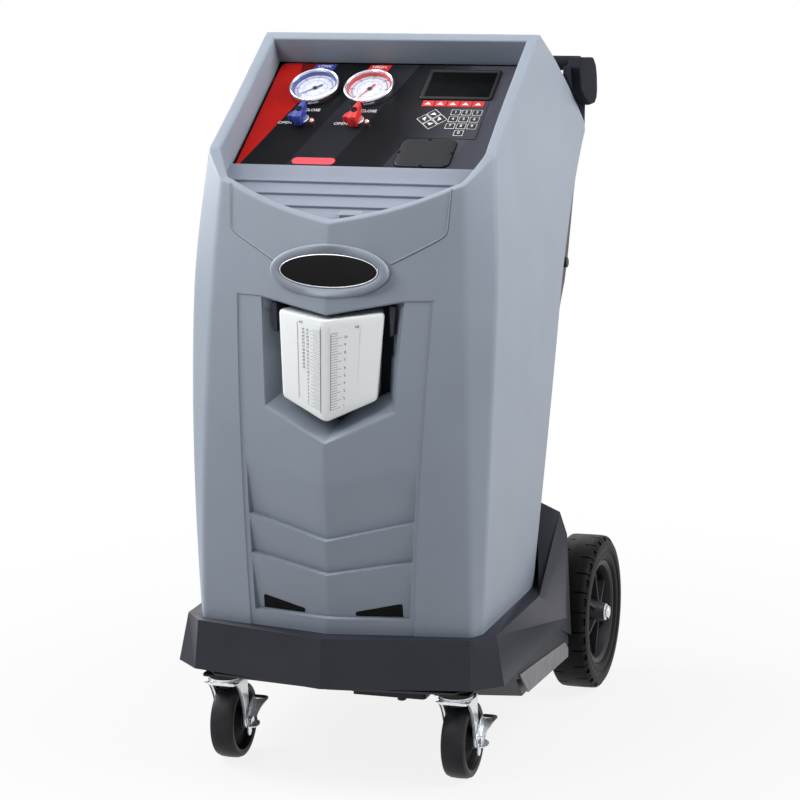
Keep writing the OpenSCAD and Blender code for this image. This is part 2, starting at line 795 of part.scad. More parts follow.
module caster_bolt() {
  translate([0, trail, caster_r]) rotate([0, 90, 0]) {
    translate([0, 0, -fork_out - 1]) cylinder(r = bolt_r, h = 2 * fork_out + 8);
    translate([0, 0, -fork_out - 5]) cylinder(r = 7, h = 5, $fn = 24);
    translate([0, 0, fork_out + 3 + 2 * air]) cylinder(r = 7, h = 5, $fn = 24);
  }
}

module caster_bolt_left() {
  color("#a9acb2") at_caster(-1) caster_bolt();
}

module caster_bolt_right() {
  color("#a9acb2") at_caster(1) caster_bolt();
}

module caster_wheel() {
  w = caster_w / 2;
  translate([0, trail, caster_r]) x_turned(0) polygon([[bolt_r + run_gap, -w - 1.4], [11, -w - 1.4],
    [13, -w + 4], [caster_r - 18, -w + 4], [caster_r - 15, -w], [caster_r - 5, -w], [caster_r, -w + 6],
    [caster_r, w - 6], [caster_r - 5, w], [caster_r - 15, w], [caster_r - 18, w - 4], [13, w - 4],
    [11, w + 1.4], [bolt_r + run_gap, w + 1.4]]);
}

module caster_wheel_left() {
  color("#1a1a1b") at_caster(-1) caster_wheel();
}

module caster_wheel_right() {
  color("#1a1a1b") at_caster(1) caster_wheel();
}

module brake_pedal() {
  x0 = fork_out + air;
  translate([0, trail, caster_r]) difference() {
    union() {
      slab_x(x0, x0 + 3) {
        circle(r = 11);
        polygon([[-8, 7], [18, 46], [34, 38], [11, 2]]);
        polygon([[4, 10], [36, 12], [36, -4], [2, -10]]);
      }
      slab_x(x0, x0 + 17) polygon([[18, 46], [34, 38], [36, 41.5], [20, 49.5]]);
      slab_x(x0, x0 + 15) polygon([[36, 12], [36, -4], [39.5, -4], [39.5, 12]]);
    }
    translate([0, 0, 0]) rotate([0, 90, 0]) cylinder(r = bolt_r + run_gap, h = 60);
  }
}

module brake_pedal_left() {
  color("#b3b6bc") at_caster(-1) brake_pedal();
}

module brake_pedal_right() {
  color("#b3b6bc") at_caster(1) brake_pedal();
}

// Machinery

module bulkhead() {
  color("#8b8f96") block([-195, 195], [bulkhead_y, bulkhead_y + bulkhead_t], [floor_z, 760]);
}

module scale_platform() {
  color("#9aa0a8") translate([0, tank_y, 0]) {
    translate([-105, -105, platform_z - 6]) cube([210, 210, 6]);
    for (x = [-80, 80]) for (y = [-80, 80]) translate([x, y, floor_z]) cylinder(r = 14, h =
      platform_z - 6 - floor_z);
  }
}

module refrigerant_tank() {
  r = tank_d / 2;
  color("#8c9096") translate([0, tank_y, platform_z]) rotate_extrude() polygon(concat(
    [[0, 22], [r - 40, 20], [r - 24, 0], [r - 18, 0], [r - 14, 22], [r, 44], [r, tank_h - 60]],
    [for (a = [10:10:80]) [r * cos(a), tank_h - 60 + 60 * sin(a)]], [[20, tank_h], [20,
      tank_h + 12], [0, tank_h + 12]]));
}

module tank_valve() {
  color("#b08d3e") translate([0, tank_y, platform_z + tank_h + 12]) {
    translate([-16, -16, 0]) cube([32, 32, 34]);
    for (s = [-1, 1]) translate([s * 15, 0, 17]) rotate([0, s * 90, 0]) {
      cylinder(r = 8, h = 18);
      translate([0, 0, 18]) cylinder(r = 11, h = 8, $fn = 24);
    }
  }
}

module tank_strap() {
  r = tank_d / 2;
  z = platform_z + 210;
  post = [96, 104];
  color("#55595f") {
    translate([0, tank_y, z]) tube(r + 2.3, r + 0.3, 30);
    block([-20, 20], post, [floor_z, z + 30]);
    difference() {
      block([-20, 20], [post[1], tank_y - r + 6], [z, z + 30]);
      translate([0, tank_y, z - 1]) cylinder(r = r + 1, h = 40);
    }
  }
}

module compressor() {
  r = 66;
  color("#26282c") translate([-100, -100, floor_z]) {
    rotate_extrude() polygon(concat([[0, 12], [r - 20, 12], [r, 34], [r, 150]],
      [for (a = [15:15:75]) [r * cos(a), 150 + 40 * sin(a)]], [[0, 190]]));
    for (x = [-44, 44]) for (y = [-44, 44]) translate([x, y, 0]) cylinder(r = 9, h = 30);
    translate([0, 0, 186]) cylinder(r = 12, h = 16);
  }
}

module vacuum_pump() {
  color("#5b6470") translate([100, -100, floor_z]) {
    translate([-50, -62, 0]) cube([100, 124, 8]);
    translate([-40, -58, 7]) cube([80, 60, 100]);
    translate([0, 0, 62]) rotate([-90, 0, 0]) cylinder(r = 44, h = 62);
    translate([-30, 4, 7]) cube([60, 50, 20]);
    translate([0, -30, 106]) cylinder(r = 14, h = 30);
  }
}

module condenser() {
  fins = 14;
  color("#b9bec4") translate([0, fan_y - 62, floor_z]) {
    block([-150, -144], [0, 40], [0, 200]);
    block([144, 150], [0, 40], [0, 200]);
    for (i = [0:fins - 1]) translate([-144.5, 2, 8 + i * 14]) cube([289, 36, 4]);
    for (y = [12, 28]) for (z = [30, 72, 114, 156]) translate([-160, y, z]) rotate([0, 90, 0])
      cylinder(r = 4.5, h = 320, $fn = 24);
  }
}

module fan_shroud() {
  bore = fan_r + 3;
  color("#202226") translate([0, fan_y, fan_z]) {
    difference() {
      block([-140, 140], [-22, -19], [floor_z - fan_z, 96]);
      translate([0, -30, 0]) rotate([-90, 0, 0]) cylinder(r = bore + 1, h = 20);
    }
    translate([0, -20, 0]) rotate([-90, 0, 0]) tube(bore + 5, bore, 34);
    for (a = [-30, 90, 210]) rotate([0, a, 0]) block([12, bore + 2], [8.2, 13.8], [-4, 4]);
    translate([0, 8, 0]) rotate([-90, 0, 0]) cylinder(r = 20, h = 6);
    translate([0, -18, 0]) rotate([-90, 0, 0]) cylinder(r = 4, h = 28);
  }
}

module fan_rotor() {
  color("#3a3d42") translate([0, fan_y + 6, fan_z]) rotate([90, 0, 0]) difference() {
    union() {
      cylinder(r = 20, h = 20);
      for (a = [0:60:300]) rotate([0, 0, a]) translate([16, 0, 10]) rotate([34, 0, 0])
        translate([0, -11, -1])
        cube([fan_r - 16, 22, 2]);
    }
    translate([0, 0, -1]) cylinder(r = 4 + run_gap, h = 40);
  }
}

module manifold_block() {
  color("#c3c7cc") translate([0, bulkhead_y, 0]) {
    block([-110, 60], [-46, 0], [560, 610]);
    for (i = [0:3]) translate([-90 + 40 * i, -23, 609]) {
      cylinder(r = 15, h = 44);
      translate([0, 0, 43]) cylinder(r = 7, h = 8);
    }
  }
}

module on_bulkhead(x, r, z0, h) {
  translate([x, bulkhead_y - r - 6, z0]) {
    children();
    for (z = [0.2, 0.75]) translate([-8, 0, z * h]) cube([16, r + 6, 10]);
  }
}

module filter_drier() {
  color("#1f3f73") on_bulkhead(110, 34, 480, 150) {
    rotate_extrude() polygon([[0, -14], [8, -14], [8, 0], [24, 2], [34, 14], [34, 136], [24, 148],
      [8, 150], [8, 164], [0, 164]]);
  }
}

module oil_separator() {
  color("#6f757c") on_bulkhead(-140, 40, 400, 130) {
    rotate_extrude() polygon([[0, -12], [9, -12], [9, 0], [28, 2], [40, 16], [40, 114], [28, 128],
      [9, 130], [9, 142], [0, 142]]);
  }
}

base_tub();
chassis_plate();
undertray();
shroud();
rear_cover();
control_panel();
display_bezel();
display_screen();
keypad();
service_cover();
badge_plate();
handle_bracket_left();
handle_bracket_right();
handle_bar();
bottle_holder();
caster_plates();
rear_axle();
axle_brackets();
axle_nuts();
gauge_cases();
gauge_dials();
gauge_lenses();
valve_bodies();
refrigerant_tank();
tank_valve();
tank_strap();
scale_platform();
compressor();
vacuum_pump();
filter_drier();
oil_separator();
manifold_block();
condenser();
fan_shroud();
fan_rotor();
control_board();
bulkhead();
power_inlet();
power_switch();
hose_ports();
rear_knobs();
gauge_pointer_low();
gauge_pointer_high();
valve_knob_low();
valve_knob_high();
caster_fork_left();
caster_fork_right();
caster_bolt_left();
caster_bolt_right();
caster_wheel_left();
caster_wheel_right();
brake_pedal_left();
brake_pedal_right();
rear_tyre_left();
rear_tyre_right();
rear_hub_left();
rear_hub_right();
oil_bottle();
bottle_cap();
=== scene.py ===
from math import atan2, copysign, cos, hypot, pi, radians, sin, sqrt, tan
import bmesh
import bpy
from mathutils import Matrix, Vector


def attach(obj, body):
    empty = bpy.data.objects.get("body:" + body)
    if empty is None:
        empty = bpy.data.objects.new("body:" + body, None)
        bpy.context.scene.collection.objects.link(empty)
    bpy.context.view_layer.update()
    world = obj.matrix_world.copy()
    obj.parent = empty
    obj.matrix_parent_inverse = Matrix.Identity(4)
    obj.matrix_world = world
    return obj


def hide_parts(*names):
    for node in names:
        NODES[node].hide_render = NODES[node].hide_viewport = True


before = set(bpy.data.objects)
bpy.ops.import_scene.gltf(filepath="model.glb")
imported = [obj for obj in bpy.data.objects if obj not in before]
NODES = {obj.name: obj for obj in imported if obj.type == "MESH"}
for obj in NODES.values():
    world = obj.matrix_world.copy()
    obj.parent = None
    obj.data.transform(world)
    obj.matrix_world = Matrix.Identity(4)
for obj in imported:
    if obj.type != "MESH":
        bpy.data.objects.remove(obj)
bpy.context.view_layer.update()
MM = 0.001
SIDES = ((1, "right"), (-1, "left"))
WELD = 1e-6
scene = bpy.context.scene
scene.view_settings.view_transform = "Standard"
translate = Matrix.Translation


def rotate(degrees, axis):
    return Matrix.Rotation(radians(degrees), 4, axis)


# Camera, light and floor

def add(tree, kind, inputs=None, **settings):
    """A shader node; an input is a constant or the output socket that feeds it."""
    node = tree.nodes.new("ShaderNode" + kind)
    for key, value in settings.items():
        setattr(node, key, value)
    for key, value in (inputs or {}).items():
        if isinstance(value, bpy.types.NodeSocket):
            tree.links.new(value, node.inputs[key])
        else:
            node.inputs[key].default_value = value
    return node


def empty_tree(owner):
    owner.use_nodes = True
    owner.node_tree.nodes.clear()
    return owner.node_tree


def maths(tree, operation, *values):
    return add(tree, "Math", dict(enumerate(values)), operation=operation).outputs[0]


def mix_shaders(tree, share, first, second):
    return add(tree, "MixShader", {0: share, 1: first.outputs[0], 2: second.outputs[0]}).outputs[0]


def set_camera():
    data = bpy.data.cameras.new("photo_camera")
    data.sensor_width = 36
    data.lens = 131.04
    data.clip_end = 50
    cam = bpy.data.objects.new("photo_camera", data)
    scene.collection.objects.link(cam)
    right = Vector((0.94931, 0.31386, -0.01708))
    up = Vector((-0.04862, 0.20030, 0.97853))
    back = right.cross(up).normalized()
    rot = Matrix((right, up, back)).transposed().to_4x4()
    cam.matrix_world = translate((1.4723, -4.3705, 1.5020)) @ rot
    scene.camera = cam


def area_light(name, at, towards, size, power):
    data = bpy.data.lights.new(name, "AREA")
    data.shape = "RECTANGLE"
    data.size, data.size_y = size
    data.energy = power
    lamp = bpy.data.objects.new(name, data)
    scene.collection.objects.link(lamp)
    aim = Vector(towards) - Vector(at)
    lamp.matrix_world = translate(at) @ aim.to_track_quat("-Z", "Y").to_matrix().to_4x4()


def seen_directly(tree):
    """1 for rays from the camera, straight or by way of gloss and glass."""
    path = add(tree, "LightPath").outputs
    first = maths(tree, "MAXIMUM", path["Is Camera Ray"], path["Is Glossy Ray"])
    return maths(tree, "MAXIMUM", first, path["Is Transmission Ray"])


def set_world():
    scene.world = bpy.data.worlds.new("studio")
    tree = empty_tree(scene.world)
    ambient = add(tree, "Background", {"Color": (0.93, 0.95, 1.0, 1), "Strength": 0.13})
    shown = add(tree, "Background", {"Color": (1, 1, 1, 1), "Strength": 1.0})
    add(tree, "OutputWorld", {0: mix_shaders(tree, seen_directly(tree), ambient, shown)})


def set_floor():
    """Grey paper that catches the shadow and fades to white away from the machine."""
    bpy.ops.mesh.primitive_circle_add(vertices=96, radius=9, fill_type="NGON", location=(0, 0, 0))
    floor = bpy.context.object
    floor.name = "floor"
    mat = bpy.data.materials.new("floor_paper")
    tree = empty_tree(mat)
    paper = add(tree, "BsdfDiffuse", {"Color": (0.48, 0.48, 0.49, 1)})
    white = add(tree, "Emission", {"Strength": 1.0})
    away = add(tree, "VectorMath", {0: add(tree, "TexCoord").outputs["Object"]}, operation="LENGTH")
    fade = add(tree, "MapRange", {"Value": away.outputs["Value"], "From Min": 0.35, "From Max": 1.5,
                                  "To Min": 0.86}, interpolation_type="SMOOTHSTEP")
    share = maths(tree, "MULTIPLY", fade.outputs[0], seen_directly(tree))
    add(tree, "OutputMaterial", {0: mix_shaders(tree, share, paper, white)})
    floor.data.materials.append(mat)


set_camera()
set_world()
set_floor()
area_light("key_left", (-1.1, -1.65, 2.3), (0, 0, 0.95), (1.2, 1.2), 27)
area_light("side_left", (-2.4, 0.1, 2.05), (0, 0, 0.8), (1.6, 1.7), 106)
area_light("side_right", (2.3, 0.05, 2.45), (0.2, 0, 0.9), (1.6, 1.6), 84)
area_light("top_soft", (0.3, -0.7, 3.4), (0, 0, 0.9), (2.0, 2.0), 16)
area_light("rear_soft", (-1.8, 3.8, 2.6), (0, 0.1, 0.6), (2.4, 2.4), 48)


# Materials


def shade(value):
    """An 8-bit screen colour as linear."""
    return tuple((c / 255 / 12.92) if c <= 10 else ((c / 255 + 0.055) / 1.055) ** 2.4 for c in value)


def blend_colour(tree, share, before, colour):
    mix = add(tree, "Mix", data_type="RGBA")
    mix.inputs["B"].default_value = (*colour, 1)
    tree.links.new(share, mix.inputs["Factor"])
    tree.links.new(before, mix.inputs["A"])
    return mix.outputs["Result"]


def surface(name, colour, rough=0.5, metal=0.0, grain=900, bump=0.12, vary=0.06, blotch=9.0,
            rough_vary=0.08, coat=0.0, wear_and_highlight=0.0, wear_and_highlight_colour=None, spec=0.5, stretch=None):
    """Moulded or metal surface: fine grain in bump and roughness, soft blotches in colour, and lighter
    convex edges that stand for wear and, on some materials, for a painted highlight.
    """
    mat = bpy.data.materials.new(name)
    mat.use_nodes = True
    tree = mat.node_tree
    bsdf = tree.nodes["Principled BSDF"].inputs
    bsdf["Metallic"].default_value = metal
    bsdf["Coat Weight"].default_value = coat
    bsdf["Specular IOR Level"].default_value = spec
    where = add(tree, "TexCoord").outputs["Object"]
    fine_where = add(tree, "Mapping", {"Vector": where, "Scale": stretch}).outputs[0] if stretch else where
    fine = add(tree, "TexNoise", {"Vector": fine_where, "Scale": grain, "Detail": 3}).outputs["Fac"]
    soft = add(tree, "TexNoise", {"Vector": where, "Scale": blotch, "Detail": 4}).outputs["Fac"]
    ramp = add(tree, "ValToRGB", {"Fac": soft})
    low, high = ramp.color_ramp.elements
    low.position, high.position = 0.3, 0.7
    low.color = (*[max(0, c * (1 - vary)) for c in shade(colour)], 1)
    high.color = (*[min(1, c * (1 + vary) + 0.004) for c in shade(colour)], 1)
    tint = ramp.outputs["Color"]
    # Convex edges turn lighter: worn plastic, and on the charcoal parts also a painted highlight.
    if wear_and_highlight:
        edge = add(tree, "MapRange", {"Value": add(tree, "NewGeometry").outputs["Pointiness"],
                                      "From Min": 0.53, "From Max": 0.62, "To Max": wear_and_highlight})
        rubbed_and_lit_edges = maths(tree, "MULTIPLY", edge.outputs[0], fine)
        tint = blend_colour(tree, rubbed_and_lit_edges, tint, shade(wear_and_highlight_colour) if wear_and_highlight_colour else (0.8, 0.8, 0.8))
    tree.links.new(tint, bsdf["Base Color"])
    span = add(tree, "MapRange", {"Value": fine, "To Min": max(0.02, rough - rough_vary),
                                  "To Max": min(1.0, rough + rough_vary)})
    tree.links.new(span.outputs[0], bsdf["Roughness"])
    if bump:
        relief = add(tree, "Bump", {"Height": fine, "Strength": bump, "Distance": 0.0004})
        tree.links.new(relief.outputs[0], bsdf["Normal"])
    return mat


def fade_across(mat, colour, x0, x1):
    """Painted sheen: the base colour passes over to another tone from one side of the object to the other,
    in place of a reflection.
    """
    tree = mat.node_tree
    socket = tree.nodes["Principled BSDF"].inputs["Base Color"]
    split = add(tree, "SeparateXYZ", {0: add(tree, "TexCoord").outputs["Object"]})
    span = add(tree, "MapRange", {"Value": split.outputs["X"], "From Min": x0, "From Max": x1},
               interpolation_type="SMOOTHSTEP")
    tint = blend_colour(tree, span.outputs[0], socket.links[0].from_socket, shade(colour))
    tree.links.new(tint, socket)


def lens_glass(name):
    """Clear glass with a faint smeared sheen towards its edge."""
    mat = bpy.data.materials.new(name)
    tree = empty_tree(mat)
    clear = add(tree, "BsdfTransparent", {"Color": (0.97, 0.98, 1.0, 1)})
    gloss = add(tree, "BsdfGlossy", {"Roughness": 0.05})
    facing = add(tree, "LayerWeight", {"Blend": 0.25}).outputs["Facing"]
    smear = add(tree, "TexNoise", {"Vector": add(tree, "TexCoord").outputs["Object"],
                                   "Scale": 60}).outputs["Fac"]
    sheen = maths(tree, "MULTIPLY", facing, 0.10)
    haze = maths(tree, "MULTIPLY_ADD", smear, 0.02, sheen)
    add(tree, "OutputMaterial", {0: mix_shaders(tree, haze, clear, gloss)})
    return mat


HOOD = surface("hood_plastic", (140, 149, 161), 0.46, grain=1500, bump=0.10, vary=0.03, wear_and_highlight=0.25,
               wear_and_highlight_colour=(178, 184, 196), spec=0.35)
# A darker copy of the hood plastic: painted shade for the console floor down in the well.
HOOD_SHADED = surface("hood_plastic_painted_shade", (134, 141, 155), 0.46, grain=1500, bump=0.10, vary=0.03, wear_and_highlight=0.3,
                    wear_and_highlight_colour=(168, 174, 188), spec=0.3)
GROOVE_SHADE = surface("groove_shade", (86, 92, 101), 0.6, grain=1500, bump=0.1, vary=0.03)
# Its lighter convex edges are partly wear and partly a painted highlight, as along the skirt's top ledge.
CHARCOAL = surface("charcoal_plastic", (33, 36, 44), grain=1100, bump=0.2, vary=0.16, blotch=7, wear_and_highlight=0.7,
                   wear_and_highlight_colour=(120, 119, 125), spec=0.12)
HANDLE = surface("handle_plastic", (34, 36, 42), 0.7, grain=1100, bump=0.15, vary=0.1, spec=0.02)
# Lighter than the charcoal skirt: partly the strip's own grey and partly painted light.
SKIRT_EDGE_LIT = surface("skirt_edge_painted_light", (122, 121, 124), 0.55, bump=0.15, vary=0.12, blotch=60, spec=0.2)
# Hood-coloured plastic darkened for the bottle pocket's walls: painted shade.
HOLDER_SHADED = surface("holder_plastic_painted_shade", (62, 66, 74), 0.55, grain=1100, vary=0.08, spec=0.1)
SHEET = surface("black_sheet", (36, 38, 43), 0.45, grain=700, bump=0.1, vary=0.1, wear_and_highlight=0.25,
                wear_and_highlight_colour=(90, 92, 98))
GUARD = surface("guard_sheet", (70, 66, 64), vary=0.12, blotch=50, spec=0.2)
FILM = surface("panel_film", (15, 16, 20), grain=2200, bump=0.08, vary=0.1, spec=0.05)
# The panel film gets a painted sheen, lighter towards the right.
fade_across(FILM, (84, 84, 94), 0.01, 0.24)
GREY_FILM = surface("grey_film", (28, 30, 36), grain=2200, bump=0.06, spec=0.06)
# The grey band gets the same painted sheen.
fade_across(GREY_FILM, (80, 80, 90), -0.02, 0.2)
RED_FILM = surface("red_film", (176, 27, 23), 0.45, grain=2200, bump=0.06, spec=0.05)
DARK_RED = surface("dark_red_film", (104, 16, 17), 0.45, grain=2200, bump=0.06, spec=0.05)
ROSE = surface("label_rose", (226, 70, 84), 0.4, grain=2000, bump=0.04, vary=0.03)
BLUE = surface("blue_plastic", (43, 62, 150), 0.34, grain=1200, bump=0.08, vary=0.08, coat=0.2)
RED = surface("red_plastic", (208, 34, 32), 0.34, grain=1200, bump=0.08, coat=0.2)
SCREEN = surface("screen_glass", (12, 14, 15), 0.12, grain=300, bump=0.0, vary=0.2, rough_vary=0.03,
                 spec=0.02)
BLACK = surface("black_plastic", (26, 27, 30), 0.45, grain=1300, bump=0.15, vary=0.12, wear_and_highlight=0.2,
                wear_and_highlight_colour=(75, 77, 82), spec=0.25)
# Near-black for openings, gaps and recesses: painted shade.
PAINTED_SHADE_BLACK = surface("painted_shade_black", (10, 10, 11), 0.6, bump=0.2, vary=0.15, spec=0.08)
GLOSS = surface("gloss_black", (12, 12, 14), 0.2, grain=500, bump=0.03, vary=0.2, rough_vary=0.04,
                spec=0.12)
ZINC = surface("zinc", (238, 242, 248), 0.32, metal=0.8, grain=420, bump=0.08, vary=0.1, blotch=60,
               rough_vary=0.12)
CHROME = surface("chromed", (214, 216, 222), 0.18, metal=1.0, grain=600, bump=0.03, vary=0.04,
                 rough_vary=0.06)
COPPER = surface("copper_pin", (226, 178, 170), 0.22, metal=1.0, grain=500, bump=0.04, vary=0.08)
BRASS = surface("brass_fitting", (188, 152, 84), 0.3, metal=1.0, grain=500, bump=0.05, vary=0.1, blotch=40)
ALLOY = surface("aluminium_block", (190, 193, 198), 0.36, metal=1.0, grain=500, bump=0.06, blotch=40,
                stretch=(1, 8, 1))
DIAL = surface("dial_white", (232, 231, 243), bump=0.02, vary=0.015)
INK = surface("ink_black", (22, 23, 28), bump=0.02, vary=0.1, spec=0.1)
SCALE_INK = surface("scale_ink", (80, 84, 90), bump=0.02, vary=0.1)
WHITE_INK = surface("ink_white", (250, 250, 252), bump=0.02, vary=0.03)
BOTTLE = surface("bottle_white", (242, 246, 245), 0.4, bump=0.06, vary=0.02, spec=0.3)
LABEL = surface("label_film", (243, 246, 246), 0.4, grain=1500, bump=0.03, vary=0.02, spec=0.2)
TANK = surface("tank_paint", (150, 154, 160), 0.4, grain=500, vary=0.05, wear_and_highlight=0.3)
BOARD = surface("board", (30, 92, 58), 0.4, grain=300, bump=0.1, vary=0.15, blotch=80)
RUBBER = surface("rubber_black", (10, 10, 11), grain=800, bump=0.2, vary=0.15, wear_and_highlight=0.12, wear_and_highlight_colour=(50, 49, 48),
                 spec=0.09)
ROLLER = surface("roller_rubber", (40, 40, 43), 0.42, grain=700, bump=0.2, vary=0.2, blotch=40, spec=0.16)
LENS = lens_glass("gauge_glass")


# Mesh helpers: a shape is (vertices, faces) in mm

def piece(name, shape, mat, body="machine", node=None, angle=32, fill=0, double=WELD):
    """A shape, or a list of them, as a visible piece in one material on a body."""
    verts, faces = join(*shape) if isinstance(shape, list) else shape
    mesh = bpy.data.meshes.new(name)
    mesh.from_pydata([tuple(c * MM for c in v) for v in verts], [], faces)
    bm = bmesh.new()
    bm.from_mesh(mesh)
    bmesh.ops.remove_doubles(bm, verts=bm.verts, dist=double)
    bmesh.ops.dissolve_degenerate(bm, edges=bm.edges, dist=WELD)
    if fill:
        rim = [e for e in bm.edges if e.is_boundary]
        bmesh.ops.holes_fill(bm, edges=rim, sides=fill)
    bmesh.ops.recalc_face_normals(bm, faces=bm.faces)
    bm.to_mesh(mesh)
    bm.free()
    return place(name, mesh, mat, body, node, angle)


def place(name, mesh, mat, body, node, angle=32):
    mesh.shade_smooth()
    mesh.set_sharp_from_angle(angle=radians(angle))
    mesh.materials.clear()
    mesh.materials.append(mat)
    obj = bpy.data.objects.new(name, mesh)
    scene.collection.objects.link(obj)
    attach(obj, body)
    if node:
        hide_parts(node)
    return obj


def bevel(obj, width, segments=2, angle=35):
    mod = obj.modifiers.new("edges", "BEVEL")
    mod.width = width * MM
    mod.segments = segments
    mod.limit_method = "ANGLE"
    mod.angle_limit = radians(angle)
    mod.use_clamp_overlap = True
    mod.harden_normals = True


def refine(node, mat, width, body="machine", trim=None):
    """A CAD node's solid with its flat faces joined, its edges rounded and its curves smooth."""
    mesh = NODES[node].data.copy()
    bm = bmesh.new()
    bm.from_mesh(mesh)
    bmesh.ops.remove_doubles(bm, verts=bm.verts, dist=WELD)
    if trim:
        for v in bm.verts:
            trim(v)
    bmesh.ops.dissolve_limit(bm, angle_limit=radians(1.0), verts=bm.verts, edges=bm.edges)
    bm.to_mesh(mesh)
    bm.free()
    bevel(place(node + "_finished", mesh, mat, body, node), width)


def lerp(a, b, t):
    return a + (b - a) * t


def mix_points(a, b, t):
    return tuple(lerp(p, q, t) for p, q in zip(a, b))


def bezier(a, b, c, t):
    return tuple(p * (1 - t) ** 2 + q * 2 * t * (1 - t) + r * t * t for p, q, r in zip(a, b, c))


def grid_faces(rows, cols, closed=False):
    faces = []
    for a in range(0, (rows - 1) * cols, cols):
        for c in range(cols if closed else cols - 1):
            d = (c + 1) % cols
            faces.append((a + c, a + d, a + cols + d, a + cols + c))
    return faces


def circle(r, n):
    return [(r * cos(2 * pi * i / n), r * sin(2 * pi * i / n)) for i in range(n)]


def stack(loops):
    """Closed loops of points as a skin."""
    return [p for loop in loops for p in loop], grid_faces(len(loops), len(loops[0]), closed=True)


def lathe(profile, segments=64, closed=False):
    """Turns (radius, height) points round Z. Returns vertices and faces."""
    verts = []
    for r, h in profile:
        verts += [(x, y, h) for x, y in circle(r, segments)]
    faces = grid_faces(len(profile), segments, closed=True)
    if closed:
        last = (len(profile) - 1) * segments
        faces += [(last + i, last + (i + 1) % segments, (i + 1) % segments, i) for i in range(segments)]
    return verts, faces


def prism(outline, h0, h1):
    n = len(outline)
    verts = [(x, y, h0) for x, y in outline] + [(x, y, h1) for x, y in outline]
    faces = [tuple(range(n - 1, -1, -1)), tuple(range(n, 2 * n))]
    faces += [(i, (i + 1) % n, n + (i + 1) % n, n + i) for i in range(n)]
    return verts, faces


def join(*parts):
    verts, faces = [], []
    for v, f in parts:
        base = len(verts)
        verts += v
        faces += [tuple(base + i for i in face) for face in f]
    return verts, faces


def moved(part, matrix):
    v, f = part
    return [tuple(matrix @ Vector(p)) for p in v], f


def rounded(half_x, half_y, r, n=5, at=(0, 0)):
    pts = []
    for sx, sy, a0 in ((1, 1, 0), (-1, 1, 90), (-1, -1, 180), (1, -1, 270)):
        for i in range(n + 1):
            a = radians(a0 + 90 * i / n)
            pts.append((at[0] + sx * (half_x - r) + r * cos(a), at[1] + sy * (half_y - r) + r * sin(a)))
    return pts


def lettering(words):
    """Flat generic lettering: (text, size, matrix) triples as one part."""
    parts = []
    for body, size, matrix in words:
        curve = bpy.data.curves.new("letters", "FONT")
        curve.body = body
        curve.size = size
        curve.align_x = "CENTER"
        curve.align_y = "CENTER"
        curve.extrude = 0.06
        curve.resolution_u = 4
        carrier = bpy.data.objects.new("letters", curve)
        mesh = bpy.data.meshes.new_from_object(carrier)
        part = ([tuple(v.co) for v in mesh.vertices], [tuple(p.vertices) for p in mesh.polygons])
        parts.append(moved(part, matrix))
        bpy.data.objects.remove(carrier)
        bpy.data.meshes.remove(mesh)
    return join(*parts)


# Hood, from the same stations as the solid

LEDGE, RIM, RISE = 238, 1120, 882
NOTCH_Z, KNEE_Z = LEDGE + 0.711 * RISE, LEDGE + 0.8186 * RISE
SHOULDER_Z, BELLY_Z = LEDGE + 0.77 * RISE, LEDGE + 0.57 * RISE
TIP_Z, SLOPE_Z = LEDGE + 0.796 * RISE, LEDGE + 0.524 * RISE
KNEE_Y, CREST_Y = -191, 68
RIM_RUN = (KNEE_Z - NOTCH_Z) / 100
PANEL_SIN, PANEL_COS = sin(radians(32)), cos(radians(32))
PANEL_TOP = (71, 1069)
BADGE_Z = 794
CHEVRON = 9.5
PANEL_SINK = 2.2
STEP_FOOT, STEP_TOP, STEP_RISE = 263.2, 330, 0.164


def climb(z, top, power):
    return (max(0, z - LEDGE) / (top - LEDGE)) ** power


def keel_y(z):
    return -342 + 51 * climb(z, NOTCH_Z, 3)


def crease_y(z):
    return -303 + 68 * climb(z, SHOULDER_Z, 2)


def crease_x(z):
    return 219.5 - 23.5 * climb(z, SHOULDER_Z, 1.6)


def corner_y(z):
    return -281 + 90 * climb(z, KNEE_Z, 2.1)


def corner_x(z):
    if z < BELLY_Z:
        return 246 - 15 * ((BELLY_Z - z) / (BELLY_Z - LEDGE)) ** 1.7
    return 246 - 16 * sin(radians(min(90, 90 * (z - BELLY_Z) / 300))) ** 2


def front_y(x, z):
    soft = sqrt(x * x + 4) - 2
    return keel_y(z) + (crease_y(z) - keel_y(z)) * soft / (crease_x(z) - 1.99)


def rear_y(z):
    over = max(0, (z - SLOPE_Z) / (TIP_Z - SLOPE_Z))
    return 113 * climb(z, LEDGE + 0.473 * RISE, 1.15) + 124 * over * over


TIP = (rear_y(TIP_Z), TIP_Z)


def rim_z(y):
    sag = 6 * sin(pi * (y + 291) / 53) if -291 < y < -238 else 0
    return KNEE_Z - sag + (y - KNEE_Y) * (RIM_RUN if y < KNEE_Y else (RIM - KNEE_Z) / (CREST_Y - KNEE_Y))


def solve_top(at):
    z = 900
    for _ in range(40):
        z = lerp(z, rim_z(at(z)[1]), 0.6)
    return z


def line(x0, z0, x1, z1, z):
    return lerp(x0, x1, (z - z0) / (z1 - z0))


def front_keys(z):
    """Sideways places of the front's lines at a height: keel, recess, chevron end, panel edge, crease."""
    recess = line(105, 583, 115, 748, z)
    chevron = line(124, 262, 132, 413, z)
    chevron = chevron if z < 500 else line(136.6, 500, 150, 748, z)
    edge = line(132, 246, 156, 749, z)
    return [0, recess, chevron, chevron + 2, edge, edge + 2.5, crease_x(z) - turn_in(z)]


def row_keys(x, top):
    a = abs(x)
    brow = 729 + 0.165 * min(a, 115)
    step = STEP_TOP + STEP_RISE * a
    return [LEDGE, 262, STEP_FOOT, step, step + 1.5, 383 + 0.227 * a, 384.5 + 0.227 * a,
            468 + 0.227 * a, 534 + 0.467 * a, brow, brow + 2.5, top]


